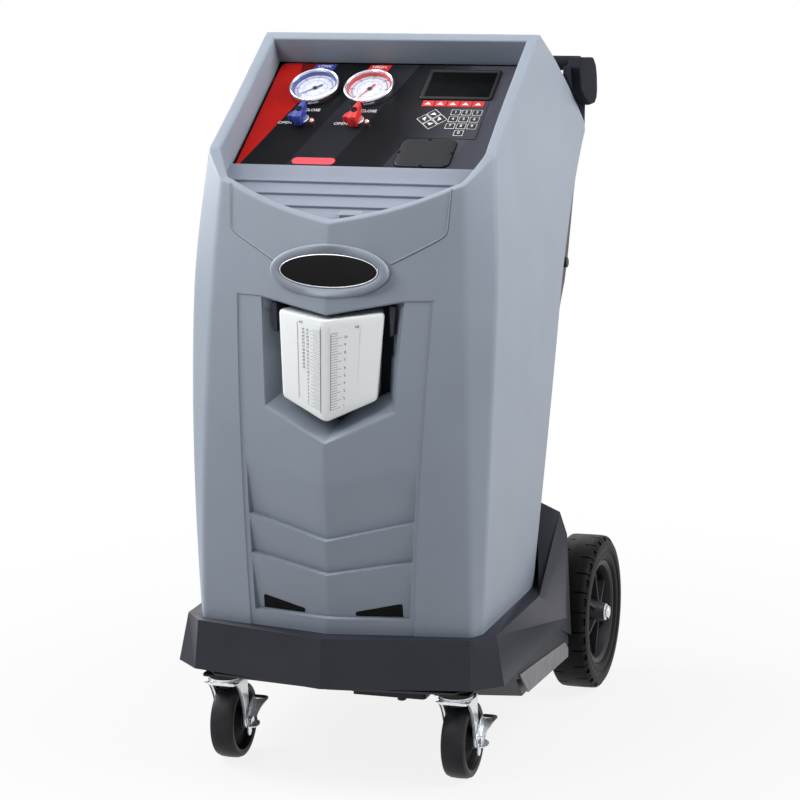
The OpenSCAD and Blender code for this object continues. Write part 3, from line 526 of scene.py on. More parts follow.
def turn_in(z):
    return min(7, 0.42 * hypot(corner_x(z) - crease_x(z), corner_y(z) - crease_y(z)))


COL_STEPS = (34, 12, 1, 2, 1, 18)
ROW_STEPS = (6, 1, 12, 1, 10, 1, 16, 14, 44, 1, 56)
RECESS_COL = COL_STEPS[0]
CHEVRON_COL = sum(COL_STEPS[:2])
EDGE_COL = sum(COL_STEPS[:4])
FRONT_COLS = sum(COL_STEPS) + 1
ROW_MARKS = [sum(ROW_STEPS[:i]) for i in range(len(ROW_STEPS) + 1)]
ROWS = ROW_MARKS[-1] + 1


def spread(steps):
    out = []
    for k, n in enumerate(steps):
        out += [(k, i / n) for i in range(n)]
    return out + [(len(steps) - 1, 1)]


COL_AT, ROW_AT = spread(COL_STEPS), spread(ROW_STEPS)


def badge_plane_y(z):
    return keel_y(BADGE_Z) + 6 + (z - BADGE_Z) * tan(radians(10))


def front_depth(col, row):
    k, f = ROW_AT[row]
    depth = 0
    if col <= CHEVRON_COL and k in (2, 4, 6):
        depth = CHEVRON * (1 - f)
    if col <= EDGE_COL and row <= ROW_MARKS[9]:
        depth += PANEL_SINK
    return depth


def front_point(col, row):
    k, f = COL_AT[col]
    kr, fr = ROW_AT[row]
    z = 500
    for _ in range(14):
        keys = front_keys(z)
        x = lerp(keys[k], keys[k + 1], f)
        zk = row_keys(x, FRONT_TOPS[col])
        z = lerp(zk[kr], zk[kr + 1], fr)
    y = front_y(x, z) + front_depth(col, row)
    if (x / 90) ** 2 + ((z - BADGE_Z) / 36.5) ** 2 < 1:
        y = max(y, badge_plane_y(z) + 5)
    return (x, y, z)


def section(k, f, z):
    """A point of the rounded front corner: 0 inner crease, 1 chamfer, 2 outer crease."""
    a = turn_in(z)
    crease = Vector((crease_x(z), crease_y(z)))
    corner = Vector((corner_x(z), corner_y(z)))
    front = (crease - Vector((0, keel_y(z)))).normalized()
    chamfer = (corner - crease).normalized()
    stops = [crease - front * a, crease + chamfer * a, corner - chamfer * a, corner + Vector((0, a))]
    if k == 0:
        return bezier(stops[0], crease, stops[1], f)
    if k == 1:
        return tuple(lerp(stops[1], stops[2], f))
    return bezier(stops[2], corner, stops[3], f)


FRONT_TOPS = []
for col_k, col_f in COL_AT:
    def column_at(z, k=col_k, f=col_f):
        keys = front_keys(z)
        x = lerp(keys[k], keys[k + 1], f)
        return (x, front_y(x, z))
    FRONT_TOPS.append(solve_top(column_at))

TURN_COLS = [(k, (i + 1) / n) for k, n in ((0, 6), (1, 4), (2, 6)) for i in range(n)]
RIM_COLS, SLOPE_COLS = 24, 26
SIDE_COLS = RIM_COLS + SLOPE_COLS


def slope_point(t):
    return bezier((CREST_Y, RIM), (222, RIM - 74), (TIP[0] - 2, TIP_Z + 15), t)


def build_hood():
    columns = []
    for c in range(FRONT_COLS):
        columns.append([front_point(c, r) for r in range(ROWS)])
    last = columns[-1]
    share = [(p[2] - LEDGE) / (last[-1][2] - LEDGE) for p in last]
    for k, f in TURN_COLS:
        top = solve_top(lambda z: section(k, f, z))
        zs = [LEDGE + s * (top - LEDGE) for s in share]
        columns.append([(*section(k, f, z), z) for z in zs])
    left = [(p[1], p[2]) for p in columns[-1]]
    right = [(rear_y(LEDGE + s * (TIP_Z - LEDGE)), LEDGE + s * (TIP_Z - LEDGE)) for s in share]
    top_line = [mix_points(left[-1], (CREST_Y, RIM), i / RIM_COLS) for i in range(RIM_COLS + 1)]
    top_line += [slope_point(i / (SLOPE_COLS - 1)) for i in range(1, SLOPE_COLS)] + [TIP]
    for i in range(1, SIDE_COLS + 1):
        p = i / SIDE_COLS
        low = (lerp(left[0][0], 0, p), LEDGE)
        col = []
        for j, s in enumerate(share):
            yz = []
            for a in (0, 1):
                across = lerp(left[j][a], right[j][a], p)
                along = lerp(low[a], top_line[i][a], s)
                corners = lerp(lerp(left[0][a], right[0][a], p), lerp(left[-1][a], right[-1][a], p), s)
                yz.append(across + along - corners)
            col.append((corner_x(yz[1]), yz[0], yz[1]))
        columns.append(col)
    return columns


HOOD_COLS = build_hood()
CREST_COL = FRONT_COLS + len(TURN_COLS) + RIM_COLS - 1
ROUND = 2.4
BACK_Y, BACK_Z = ROUND * 0.9014, ROUND * 0.433
QUARTERS = (0, 0.25, 0.5, 0.75, 1)


def round_over(columns):
    """Ends each column below its edge and keeps the edge point for the rim."""
    edges = []
    for col in columns:
        edge = Vector(col[-1])
        keep = [p for p in col if (Vector(p) - edge).length > ROUND + 1.5 or p[2] < 700]
        down = (Vector(keep[-1]) - edge).normalized()
        start = edge + down * ROUND
        col[len(keep):] = [tuple(start)] * (len(col) - len(keep))
        edges.append(edge)
    return edges


HOOD_EDGES = round_over(HOOD_COLS)


def floor_z(y):
    return PANEL_TOP[1] - (PANEL_TOP[0] - y) * PANEL_SIN / PANEL_COS


def lip_width(edge):
    """The lip is narrow along the front and widens round the corner to the sides."""
    t = min(1, max(0, (edge.y + 250) / 70))
    return 10.5 + 7.5 * t * t * (3 - 2 * t)


def lip_loop(start, edge, inner, wide):
    """Across the lip: over the hood's edge, along the flat and down into the well."""
    loop = [bezier(start, edge, inner(ROUND), t) for t in QUARTERS] + [tuple(inner(wide - 3))]
    return loop + [bezier(inner(wide - 3), inner(wide), inner(wide + 0.3, 3), t) for t in (0.35, 0.7, 1)]


def rim_sweep():
    """Rounded lip from the hood's edge into the console well, as loops for the right half."""
    front_n = Vector((0, -0.6883, 0.7254))
    side_n = Vector((0, -0.5257, 0.8507))
    loops = []
    crest_x = HOOD_EDGES[CREST_COL].x
    for i in range(CREST_COL + 1):
        edge = HOOD_EDGES[i]
        side = i > FRONT_COLS + len(TURN_COLS) - 1
        ahead = HOOD_EDGES[min(i + 1, CREST_COL)] - HOOD_EDGES[max(i - 1, 0)]
        if i == 0:
            ahead = Vector((1, 0, 0))
        normal = side_n if side else front_n
        inward = Vector((-1, 0, 0)) if side else normal.cross(ahead).normalized()
        if not side:
            blend = max(0, (i - FRONT_COLS) / len(TURN_COLS))
            inward = inward.lerp(Vector((-1, 0, 0)), blend ** 3).normalized()
        along = Vector((0, -0.8507, -0.5257))
        back = max(0, 18 - (HOOD_EDGES[CREST_COL] - edge).length) if side else 0
        tilt = 0.3 * min(1, max(0, (-185 - edge.y) / 40))

        def inner(d, drop=0):
            shift = along * min(d, back) if back else Vector((0, 0, 0))
            return edge + inward * d + shift - normal * (drop + tilt * d)
        loop = lip_loop(Vector(HOOD_COLS[i][-1]), edge, inner, lip_width(edge))
        foot = Vector(loop[-1])
        depth = min(foot.z - 3, floor_z(foot.y)) - 6
        loops.append(loop + [(foot.x, foot.y - (0 if side else 4), depth)])
    for i in range(1, 21):
        x = crest_x * (1 - i / 20)
        edge = Vector((x, CREST_Y, RIM))

        def inner(d, drop=0):
            return Vector((min(x, crest_x - d), CREST_Y - 0.8507 * d, RIM - 0.5257 * d)) - side_n * drop
        start = Vector((x, CREST_Y + BACK_Y, RIM - BACK_Z))
        loop = lip_loop(start, edge, inner, 18)
        loops.append(loop + [tuple(Vector(loop[-1]) - side_n * 44)])
    return loops


def back_slope():
    """The hood's back slope from edge to middle for the right half."""
    strips = []
    for i in range(CREST_COL, len(HOOD_COLS)):
        edge = HOOD_EDGES[i]
        start = Vector(HOOD_COLS[i][-1])
        pts = [bezier(start, edge, edge + Vector((-ROUND, 0, 0)), t) for t in QUARTERS]
        pts += [(lerp(edge.x - ROUND, 0, k / 10), edge.y, edge.z) for k in range(1, 11)]
        if i == CREST_COL:
            pts = [(p[0], p[1] + BACK_Y, p[2] - BACK_Z) for p in pts]
            pts[0] = tuple(start)
        strips.append(pts)
    return strips


def both_halves(columns, skip=None):
    """Quads of a strip of columns on the right half and its mirror."""
    parts = []
    for s in (1, -1):
        rows = len(columns[0])
        verts = [(s * p[0], p[1], p[2]) for col in columns for p in col]
        faces = []
        for c in range(len(columns) - 1):
            for r in range(rows - 1):
                if skip and skip(c, r):
                    continue
                q = (c * rows + r, (c + 1) * rows + r, (c + 1) * rows + r + 1, c * rows + r + 1)
                faces.append(q if s == 1 else q[::-1])
        parts.append((verts, faces))
    return join(*parts)


def in_recess(c, r):
    return c < RECESS_COL and ROW_MARKS[8] <= r < ROW_MARKS[9]


def rear_return():
    """The hood's rear edge rolled over and turned in."""
    return both_halves([[(p[0] - inset, p[1] + back, p[2]) for p in HOOD_COLS[-1]]
                        for inset, back in ((0, 0), (2.5, 2), (6, 1), (6, -30))])


def recess_outline():
    """The bottle recess where it meets the front: top middle, round the right half, low middle."""
    low, high = ROW_MARKS[8], ROW_MARKS[9]
    pts = [HOOD_COLS[c][high] for c in range(RECESS_COL + 1)]
    pts += [HOOD_COLS[RECESS_COL][r] for r in range(high - 1, low - 1, -1)]
    return pts + [HOOD_COLS[c][low] for c in range(RECESS_COL - 1, -1, -1)]


def recess_pocket():
    """Walls and back of the bottle recess, drawn in towards its middle."""
    mid_z, wall_y, back_y, brow_z = 660, -268, -224, 728
    loops = []
    for x, y, z in recess_outline():
        slope = 0.25 if z > brow_z else 1
        in_x = copysign(min(1, abs(x) / 60), -x)
        in_z = copysign(min(1, abs(mid_z - z) / 20), mid_z - z)
        deep_x, deep_z = x + in_x * 21, z + in_z * 20 * slope
        end_x, end_z = deep_x + in_x, deep_z + in_z * slope
        loops.append([(x, y, z), (x + in_x * slope, y + 0.8, z + in_z * slope),
                      (x + in_x * 2.5 * slope, y + 3, z + in_z * 2.5 * slope), (deep_x, wall_y, deep_z),
                      (end_x, wall_y + 4, end_z), (end_x, back_y, end_z), (0, back_y, mid_z)])
    return both_halves(loops)


def hood():
    shell = both_halves(HOOD_COLS, in_recess)
    lip = both_halves(rim_sweep())
    slope = both_halves(back_slope())
    shape = join(shell, lip, slope, rear_return(), recess_pocket())
    piece("hood", shape, HOOD, node="shroud", angle=38, double=2e-5, fill=8)


hood()


# Console

PANEL_TILT = rotate(32, "X")


def on_panel(u, v, h=0, turn=0):
    """Matrix to u across and v down the panel: x across, y up the slope, z along the normal."""
    at = (u, PANEL_TOP[0] - v * PANEL_COS - h * PANEL_SIN, PANEL_TOP[1] - v * PANEL_SIN + h * PANEL_COS)
    return translate(at) @ PANEL_TILT @ rotate(turn, "Z")


PANEL_AT = on_panel(0, 0)


def film(outline, h0=0.05, h1=0.25):
    """A thin printed film on the panel from (u, v) points."""
    return moved(prism([(u, -v) for u, v in outline][::-1], h0, h1), PANEL_AT)


def well_half(y, z):
    """Half width of the console floor, halfway under the lip."""
    f = (y - 7 - keel_y(z)) / (crease_y(z) - keel_y(z))
    if f < 1:
        return max(2, f * crease_x(z))
    g = min(1, (y - 7 - crease_y(z)) / (corner_y(z) - crease_y(z)))
    return lerp(crease_x(z), corner_x(z) - 11, g)


def console_floor():
    """Rolled lip under the panel and three louvre treads down to the rim's notch."""
    profile = [(258.5, -4), (258.5, 0.2), (259.4, 1.2), (261.5, 1.7), (268, 1.6), (280, 0.4)]
    for v in (298, 327, 356):
        profile += [(v - 6, 0.4), (v - 2.4, 1.3), (v - 1.2, 1.7), (v - 0.2, 1.3), (v + 0.3, 0.2),
                    (v + 0.6, -2), (v + 1.2, -2.2), (v + 14, -0.8)]
    profile += [(410, -4)]
    cols = 40
    verts = []
    for v, h in profile:
        _, y, z = on_panel(0, v, h).translation
        half = well_half(y, z)
        verts += [(lerp(-half, half, c / cols), y, z) for c in range(cols + 1)]
    tab = moved(soft_block(rounded(19, 6, 1.5), -4, 5.5, 1), on_panel(20, 374))
    # The floor is in the darker copy of the hood plastic: painted shade in the well.
    piece("console_floor", (verts, grid_faces(len(profile), cols + 1)), HOOD_SHADED, angle=30)
    piece("console_tab", tab, HOOD, angle=30)


def panel_films():
    red = [(-204.8, 14), (-203, 6), (-197, 0.5), (-170.5, 0.5), (-156.6, 68), (-148, 104), (-199, 259.4),
           (-204.8, 259.4)]
    piece("panel_red", film(red), RED_FILM)
    piece("panel_red_shade", film([(-170.3, 0.5), (-117, 0.5), (-148, 103.5), (-156.4, 68)]), DARK_RED)
    left_band = film([(-39, 0.5), (31, 0.5), (-50, 259.4), (-123, 259.4)])
    right_band = film([(118, 0.5), (204, 0.5), (204, 40), (136, 259.4), (36, 259.4)], 0.04, 0.15)
    piece("panel_band", [left_band, right_band], GREY_FILM)
    piece("label_low", film([(-145, 3), (-109, 2.2), (-113, 19), (-149, 20)], 0.2, 0.4), BLUE)
    piece("label_high", film([(-52, 3), (-16, 2.2), (-20, 19), (-56, 20)], 0.2, 0.4), RED)
    piece("label_blank", film(rounded(35.5, 8, 7.9, 8, (-79, 247)), 0.2, 0.45), ROSE)


def key_frame(half, half_v, w=0.8):
    """A printed key outline: a thin open frame."""
    outer, inner = rounded(half, half_v, 0.8, 2), rounded(half - w, half_v - w, 0.4, 2)
    n = len(outer)
    verts = [(u, -v, h) for h in (0, 0.18) for u, v in outer + inner]
    faces = []
    for i in range(n):
        j = (i + 1) % n
        faces += [(2 * n + i, 2 * n + j, 3 * n + j, 3 * n + i), (i, j, 2 * n + j, 2 * n + i),
                  (n + j, n + i, 3 * n + i, 3 * n + j), (i, n + i, n + j, j)]
    return verts, faces


def triangle(size):
    return prism([(-size, -0.55 * size), (size, -0.55 * size), (0, 0.6 * size)], 0, 0.2)


NUMBER_KEYS = {"1": (121, 121), "2": (138.5, 121), "3": (156, 121), "4": (120.5, 138), "5": (138, 138),
               "6": (155.5, 138), "7": (120, 155), "8": (138, 155), "9": (155.5, 155), "0": (138, 172)}


def keypad():
    film_h = 1
    base = film(rounded(56, 46, 3, 4, (112, 140)), 0.05, film_h)
    piece("keypad_film", base, FILM, node="keypad")
    domes, marks, softs = [], [], []
    for u, v in NUMBER_KEYS.values():
        domes.append(moved(prism(rounded(6.6, 5.4, 1.5, 3), 0, 0.8), on_panel(u, v, film_h)))
        marks.append(moved(key_frame(7.6, 6.6), on_panel(u, v, film_h)))
    words = [(t, 8.5, on_panel(u, v, film_h + 0.9)) for t, (u, v) in NUMBER_KEYS.items()]
    for k, (u, v) in enumerate(((86.5, 126), (99.5, 139), (86.5, 152), (73.5, 139))):
        at = on_panel(u, v, film_h, 45)
        domes.append(moved(prism(rounded(7.4, 7.4, 1.5, 3), 0, 0.8), at))
        marks.append(moved(key_frame(8.6, 8.6), at))
        marks.append(moved(triangle(5), on_panel(u, v, film_h + 0.85, -90 * k)))
    for i in range(5):
        u = 70 + 20.6 * i
        softs.append(moved(prism([(-9.6, -7), (9.2, -7), (9.8, 7), (-9, 7)], 0, 0.9),
                           on_panel(u + 0.2, 100.5, film_h)))
        marks.append(moved(triangle(5.4), on_panel(u, 100.5, film_h + 0.95)))
    piece("keypad_keys", domes, BLACK)
    piece("keypad_soft_keys", softs, RED)
    piece("keypad_marks", marks, WHITE_INK)
    words += [("LOW", 10, on_panel(-129, 8, 0.55)), ("HIGH", 10, on_panel(-36, 8, 0.55))]
    for u in (-117.6, -23):
        words.append(("CLOSE", 9, on_panel(u, 121, 0.4)))
    for u in (-152, -58.5):
        words.append(("OPEN", 9, on_panel(u - 2, 154, 0.4)))
    piece("panel_lettering", lettering(words), WHITE_INK)


def framed(half_x, half_y, r, profile, at):
    """(inset, height) pairs swept round a rounded rectangle."""
    return moved(stack([[(x, y, h) for x, y in rounded(half_x - d, half_y - d, max(0.4, r - d), 6)]
                        for d, h in profile]), at)


def display():
    at = on_panel(112, 52)
    rims = [(0, 0.05), (0, 2.6), (0.8, 3.6), (2.2, 4.2), (4, 4.2), (5.2, 3.4), (6.4, 1.6), (6.6, 0.3)]
    piece("display_bezel", framed(59.5, 37.5, 5, rims, at), BLACK, node="display_bezel")
    glass = moved(prism(rounded(53.4, 31.4, 1.5, 3), 0.1, 1.7), at)
    piece("display_glass", glass, SCREEN, node="display_screen")
    cover_at = on_panel(98, 223.5)
    edge = ((0, 0.05), (0, 1.9), (0.5, 2.6), (1.4, 3))
    loops = [[(x, y, h) for x, y in rounded(44 - d, 33 - d, 12 - d, 8)] for d, h in edge]
    loops += [[(x * k, y * k, 3 + 0.5 * (1 - k * k)) for x, y in rounded(42.6, 31.6, 10.6, 8)]
              for k in (0.75, 0.4, 0)]
    piece("service_cover", moved(stack(loops), cover_at), BLACK, node="service_cover")
    notches = []
    for u, v, w, d in ((0, 31.5, 2.6, 1.8), (0, -31.5, 2.6, 1.8), (-42.5, 0, 1.8, 2.6),
                       (42.5, 0, 1.8, 2.6)):
        notches.append(moved(prism(rounded(w, d, 0.8, 2), 2.6, 3.5), cover_at @ translate((u, v, 0))))
    groove = framed(45.6, 34.6, 13, [(0, 0.05), (0, 0.5), (1.5, 0.5), (1.5, 0.05)], cover_at)
    piece("service_cover_notches", join(*notches, groove), GLOSS)


# name, place across the panel, colour, pointer's angle at rest
GAUGES = (("low", -127, BLUE, 38), ("high", -35, RED, 62))
GAUGE_V, VALVE_V = 70, 146
INK_LOW, INK_HIGH = 4.22, 4.34


def gauges():
    cases, dials, scales, words = [], [], [], []
    for name, u, colour, _ in GAUGES:
        at = on_panel(u, GAUGE_V)
        rim = [(34.3, 0.1), (40.2, 0.1), (41.3, 1.2), (41.5, 4), (41.5, 9.5), (40.9, 12.2), (39.6, 13.7),
               (38.4, 14), (37.4, 13.5), (36.9, 12.4), (36.9, 11.2), (36.2, 11), (36, 3), (0.01, 3)]
        cases.append(moved(lathe(rim, 96), at))
        ring = [(35.9, 4.4), (35.9, 10.6), (34.6, 10.6), (33.6, 4.6)]
        piece("gauge_ring_" + name, moved(lathe(ring, 96), at), colour)
        dials.append(moved(lathe([(0.01, 4.2), (33, 4.2), (35.2, 4.3), (35.2, 3.1)], 96), at))
        scales.append(moved(lathe([(1.5, 3.2), (1.5, 7.9), (0.01, 8)], 24), at))
        for i in range(61):
            long = i % 10 == 0
            r0 = 24.2 if long else 26.2 if i % 5 == 0 else 27.4
            spin = at @ rotate(225 - 270 * i / 60, "Z")
            w = 0.45 if long else 0.28
            scales.append(moved(prism([(r0, -w), (29, -w), (29, w), (r0, w)], INK_LOW, INK_HIGH), spin))
        for r0, r1 in ((29, 29.5), (20, 20.4)):
            hoop = [(r0, INK_LOW), (r0, INK_HIGH), (r1, INK_HIGH), (r1, INK_LOW)]
            scales.append(moved(lathe(hoop, 96), at))
        step = 25 if name == "low" else 100
        for i in range(7):
            a = radians(225 - 45 * i)
            for r, text, size in ((31.641, i * step, 4), (16.5, i * 2, 3.6)):
                words.append((str(text), size, at @ translate((r * cos(a), r * sin(a), 4.35))))
    piece("gauge_bezels", cases, CHROME, node="gauge_cases", angle=40)
    piece("gauge_faces", dials, DIAL, node="gauge_dials")
    piece("gauge_scales", scales, INK)
    piece("gauge_numbers", lettering(words), INK)
    for name, u, colour, turn in GAUGES:
        at = on_panel(u, GAUGE_V, 5, turn)
        blade = prism([(-27, -0.25), (-6, -1), (0, -1.2), (0, 1.2), (-6, 1), (-27, 0.25)], 0.1, 0.7)
        tail = prism([(0, -1.1), (10, -2), (13, -1.6), (14, 0), (13, 1.6), (10, 2), (0, 1.1)], 0.1, 0.8)
        piece("pointer_" + name, moved(join(blade, tail), at), colour, name + "_pointer",
              "gauge_pointer_" + name)
        hub = lathe([(1.6, 0), (4, 0), (4, 1), (3.4, 1.5), (1.6, 1.6)], 32, True)
        piece("pointer_hub_" + name, moved(hub, at), INK, name + "_pointer")


def soft_block(outline, h0, h1, taper, rounding=1.2):
    """A raised block whose sides draw in and whose top edge is rounded."""
    cx = sum(p[0] for p in outline) / len(outline)
    cy = sum(p[1] for p in outline) / len(outline)

    def ring(k, h):
        out = []
        for x, y in outline:
            d = hypot(x - cx, y - cy)
            out.append((x - (x - cx) / d * k, y - (y - cy) / d * k, h))
        return out
    verts, faces = stack([ring(0, h0), ring(taper * 0.7, h1 - rounding),
                          ring(taper + rounding * 0.3, h1 - rounding * 0.3), ring(taper + rounding, h1)])
    n = len(outline)
    return verts, faces + [tuple(range(3 * n, 4 * n)), tuple(range(n - 1, -1, -1))]


def valves():
    fixed, pins = [], []
    for name, u, colour in (("low", -128, BLUE), ("high", -36, RED)):
        at = on_panel(u, VALVE_V)
        stem = [(9, 0.1), (12, 0.1), (12, 3.2), (11, 4), (5, 4), (5, 21.2), (4.4, 21.9), (0.01, 22.1)]
        fixed.append(moved(lathe(stem, 48), at))
        post = [(4.6, 0.1), (4.6, 8), (3.9, 10.6), (2.4, 12.1), (0.01, 12.6)]
        pins.append(moved(lathe(post, 32), at @ translate((21.5, -12, 0))))
        top = at @ translate((0, 0, 4.4))
        lever = soft_block([(1.5, 28), (4.2, 16), (6.6, 6), (6.6, -18.5), (5.6, -19.6), (-5.6, -19.6),
                            (-6.6, -18.5), (-6.8, 4), (-2.6, 16)], 0, 18.4, 1, 1.5)
        wing = soft_block([(-7.4, 8), (-11.5, 6), (-16, 1.8), (-19.6, -7.4), (-18.4, -8.6), (-14, -8),
                           (-7.4, -11.4)], 0, 11, 1, 1.4)
        piece("valve_lever_" + name, moved(join(lever, wing), top), colour, name + "_valve",
              "valve_knob_" + name, angle=50)
        cap = lathe([(5.6, 18), (5.6, 19.6), (5, 20.2), (2.2, 20.2), (2, 19.2), (0.01, 19.2)], 32)
        bars = [prism([(-a, -b), (a, -b), (a, b), (-a, b)], 20, 20.45) for a, b in ((3.8, 0.5), (0.5, 3.8))]
        piece("valve_screw_" + name, moved(join(cap, *bars), top), INK, name + "_valve")
    piece("valve_stems", fixed, CHROME, node="valve_bodies")
    piece("valve_stops", pins, COPPER)


console_floor()
panel_films()
keypad()
display()
gauges()
valves()


# Badge, vents and oil bottle on the front

def oval(loops, n=120):
    return stack([[(a * x, b * y, h) for x, y in circle(1, n)] for a, b, h in loops])


def badge():
    at = translate((0, keel_y(BADGE_Z) + 6, BADGE_Z)) @ rotate(80, "X")
    # half width, half height, height and how far the loop follows the front's bend
    ring = [(95, 41, -26, 1), (94.8, 40.8, -3.4, 1), (94.2, 40.2, -1.8, 1), (93, 39, -0.6, 1),
            (90.6, 36.6, 0.3, 0.9), (86.5, 32.6, 0.6, 0.55), (82.4, 28.9, 0.1, 0.2),
            (80.2, 27.1, -0.9, 0.05), (79.2, 26.1, -2.4, 0), (79, 25.9, -4, 0)]
    n = 160
    verts, faces = oval([loop[:3] for loop in ring], n)
    for i in range(n):
        x, z = verts[i][0], BADGE_Z + verts[i][1] * cos(radians(10))
        lift = max(0, badge_plane_y(z) - front_y(x, z) + 3.6)
        for k, loop in enumerate(ring):
            p = verts[k * n + i]
            verts[k * n + i] = (p[0], p[1], p[2] + lift * loop[3])
    piece("badge_ring", moved((verts, faces), at), HOOD, angle=60)
    # A thin strip in painted groove shade outlines the ring.
    edges = ((verts[:n], 0), (verts[n:2 * n], 2.9))
    seam = [(p[0] * 1.004, p[1] * 1.01, p[2] - drop) for row, drop in edges for p in row]
    piece("badge_ring_painted_shade", moved((seam, grid_faces(2, n, closed=True)), at), GROOVE_SHADE, angle=60)
    trim = [(79, 25.9, -3), (78.8, 25.7, -0.6), (78.1, 25, 0), (77.2, 24.1, -0.2), (77, 23.9, -1.5)]
    piece("badge_trim", moved(oval(trim), at), CHROME, angle=60)
    shares = (1, 0.9, 0.75, 0.5, 0.25, 0.001)
    dome = [(77.6, 24.5, -2)] + [(77.4 * k, 24.3 * k, 1.6 * (1 - k * k) - 0.4) for k in shares]
    piece("badge_blank", moved(oval(dome), at), GLOSS, node="badge_plate", angle=60)


def lower_front(x, z):
    """The lowest pocket's surface."""
    top = STEP_TOP + STEP_RISE * abs(x)
    return front_y(x, z) + PANEL_SINK + CHEVRON * (1 - (z - STEP_FOOT) / (top - STEP_FOOT))


def vents():
    # Black plates in painted shade stand for the vent openings, and their bars are as dark.
    vent_shades, bars = [], []
    for s in (1, -1):
        rim = [(42, 265), (62, 265), (80, 265), (98, 265), (113, 265), (113, 275), (113, 284), (111, 286),
               (100, 284), (72, 278), (43, 272), (41, 270)]
        verts = [(s * x, lower_front(x, z) + o, z) for o in (-0.5, 4) for x, z in rim]
        n = len(rim)
        faces = [tuple(range(n))] + [(i, (i + 1) % n, n + (i + 1) % n, n + i) for i in range(n)]
        vent_shades.append((verts, faces))
        for x0, x1, z in ((44, 112, 269), (72, 112, 275.5)):
            ridge = ((-0.7, 0.4), (0, 1.4), (0.7, 0.4))
            p = [(s * x, lower_front(x, z + d) - o, z + d) for x in (x0, x1) for d, o in ridge]
            bars.append((p, [(0, 1, 4, 3), (1, 2, 5, 4), (0, 2, 1), (3, 4, 5)]))
    piece("front_vents", vent_shades, PAINTED_SHADE_BLACK, angle=20)
    piece("front_vent_bars", bars, PAINTED_SHADE_BLACK, angle=20)


BOTTLE_LOW = [(0, -330, 566), (77, -309, 599), (58, -232, 599), (0, -232, 566), (-58, -232, 599),
              (-77, -309, 599)]
BOTTLE_HIGH = [(0, -322, 722), (86, -293, 731), (64, -232, 733), (0, -232, 722), (-64, -232, 733),
               (-86, -293, 731)]
BOTTLE_ROUND = (9, 8, 8, 3, 8, 8)
BOTTLE_MID_Y, NECK_Y = -272, -255


def bottle_ring(t, inset, dz):
    corners = []
    for a, b in zip(BOTTLE_LOW, BOTTLE_HIGH):
        p = Vector(mix_points(a, b, t))
        towards = Vector((-p.x, BOTTLE_MID_Y - p.y, 0))
        p += towards.normalized() * inset
        p.z += dz
        corners.append(p)
    ring = []
    for i, p in enumerate(corners):
        before, after = corners[i - 1], corners[(i + 1) % 6]
        a = p + (before - p).normalized() * BOTTLE_ROUND[i]
        c = p + (after - p).normalized() * BOTTLE_ROUND[i]
        ring += [bezier(a, p, c, k / 6) for k in range(7)]
    return ring


def bottle():
    rings = [bottle_ring(0, 9, 0), bottle_ring(0, 4, 0.4), bottle_ring(0, 1.3, 2), bottle_ring(0, 0, 6)]
    rings += [bottle_ring(k / 12, 0, 6 - 11 * k / 12) for k in range(1, 12)]
    rings += [bottle_ring(1, 0, -5), bottle_ring(1, 1, -2), bottle_ring(1, 3, -0.4), bottle_ring(1, 8, 0)]
    n = len(rings[0])
    verts, faces = stack(rings)
    for base, z, flip in ((0, 566, True), ((len(rings) - 1) * n, 722, False)):
        front, back = len(verts), len(verts) + 1
        verts += [(0, y, z) for y in (-316, -240)]
        mids = [front if verts[base + k][1] < BOTTLE_MID_Y else back for k in range(n)]
        for i in range(n):
            j = (i + 1) % n
            tri = [(base + i, base + j, mids[i])]
            if mids[i] != mids[j]:
                tri.append((mids[i], base + j, mids[j]))
            faces += [t[::-1] if flip else t for t in tri]
    neck = moved(lathe([(7, -4), (7, 2.2)], 32), translate((0, NECK_Y, 722)))
    piece("oil_bottle", join((verts, faces), neck), BOTTLE, "bottle", "oil_bottle", angle=28)
    cap_rim = [((10 + i % 2 * 0.5) * x, (10 + i % 2 * 0.5) * y) for i, (x, y) in enumerate(circle(1, 48))]
    cap = moved(soft_block(cap_rim, 0, 4, 0.2, 0.6), translate((0, NECK_Y, 724)))
    piece("bottle_cap", cap, BLACK, "bottle", "bottle_cap")


def bottle_face(side, a, t, lift=1):
    """A point on the bottle's front: a from the ridge to the corner, t from low to high."""
    low = mix_points(BOTTLE_LOW[0], BOTTLE_LOW[1], a)
    high = mix_points(BOTTLE_HIGH[0], BOTTLE_HIGH[1], a)
    p = Vector(mix_points(low, high, t)) + Vector((0.28, -0.95, 0.1)) * lift
    return Vector((side * p.x, p.y, p.z))


def bottle_frame(side, a, t):
    o = bottle_face(side, a, t)
    across = (bottle_face(side, a + side * 0.02, t) - o).normalized()
    up = (bottle_face(side, a, t + 0.02) - o).normalized()
    normal = across.cross(up).normalized()
    up = normal.cross(across)
    m = Matrix((across, up, normal)).transposed().to_4x4()
    return translate(o) @ m


def bottle_strip(side, a0, a1, t0, t1, lift=1, steps=1):
    verts, faces = [], []
    for k in range(steps + 1):
        t = lerp(t0, t1, k / steps)
        verts += [tuple(bottle_face(side, a, t, d)) for a in (a0, a1) for d in (lift - 0.25, lift)]
    for k in range(steps):
        i, j = 4 * k, 4 * k + 4
        faces += [(i + 1, i + 3, j + 3, j + 1), (i, i + 1, j + 1, j), (i + 2, j + 2, j + 3, i + 3)]
    return verts, faces


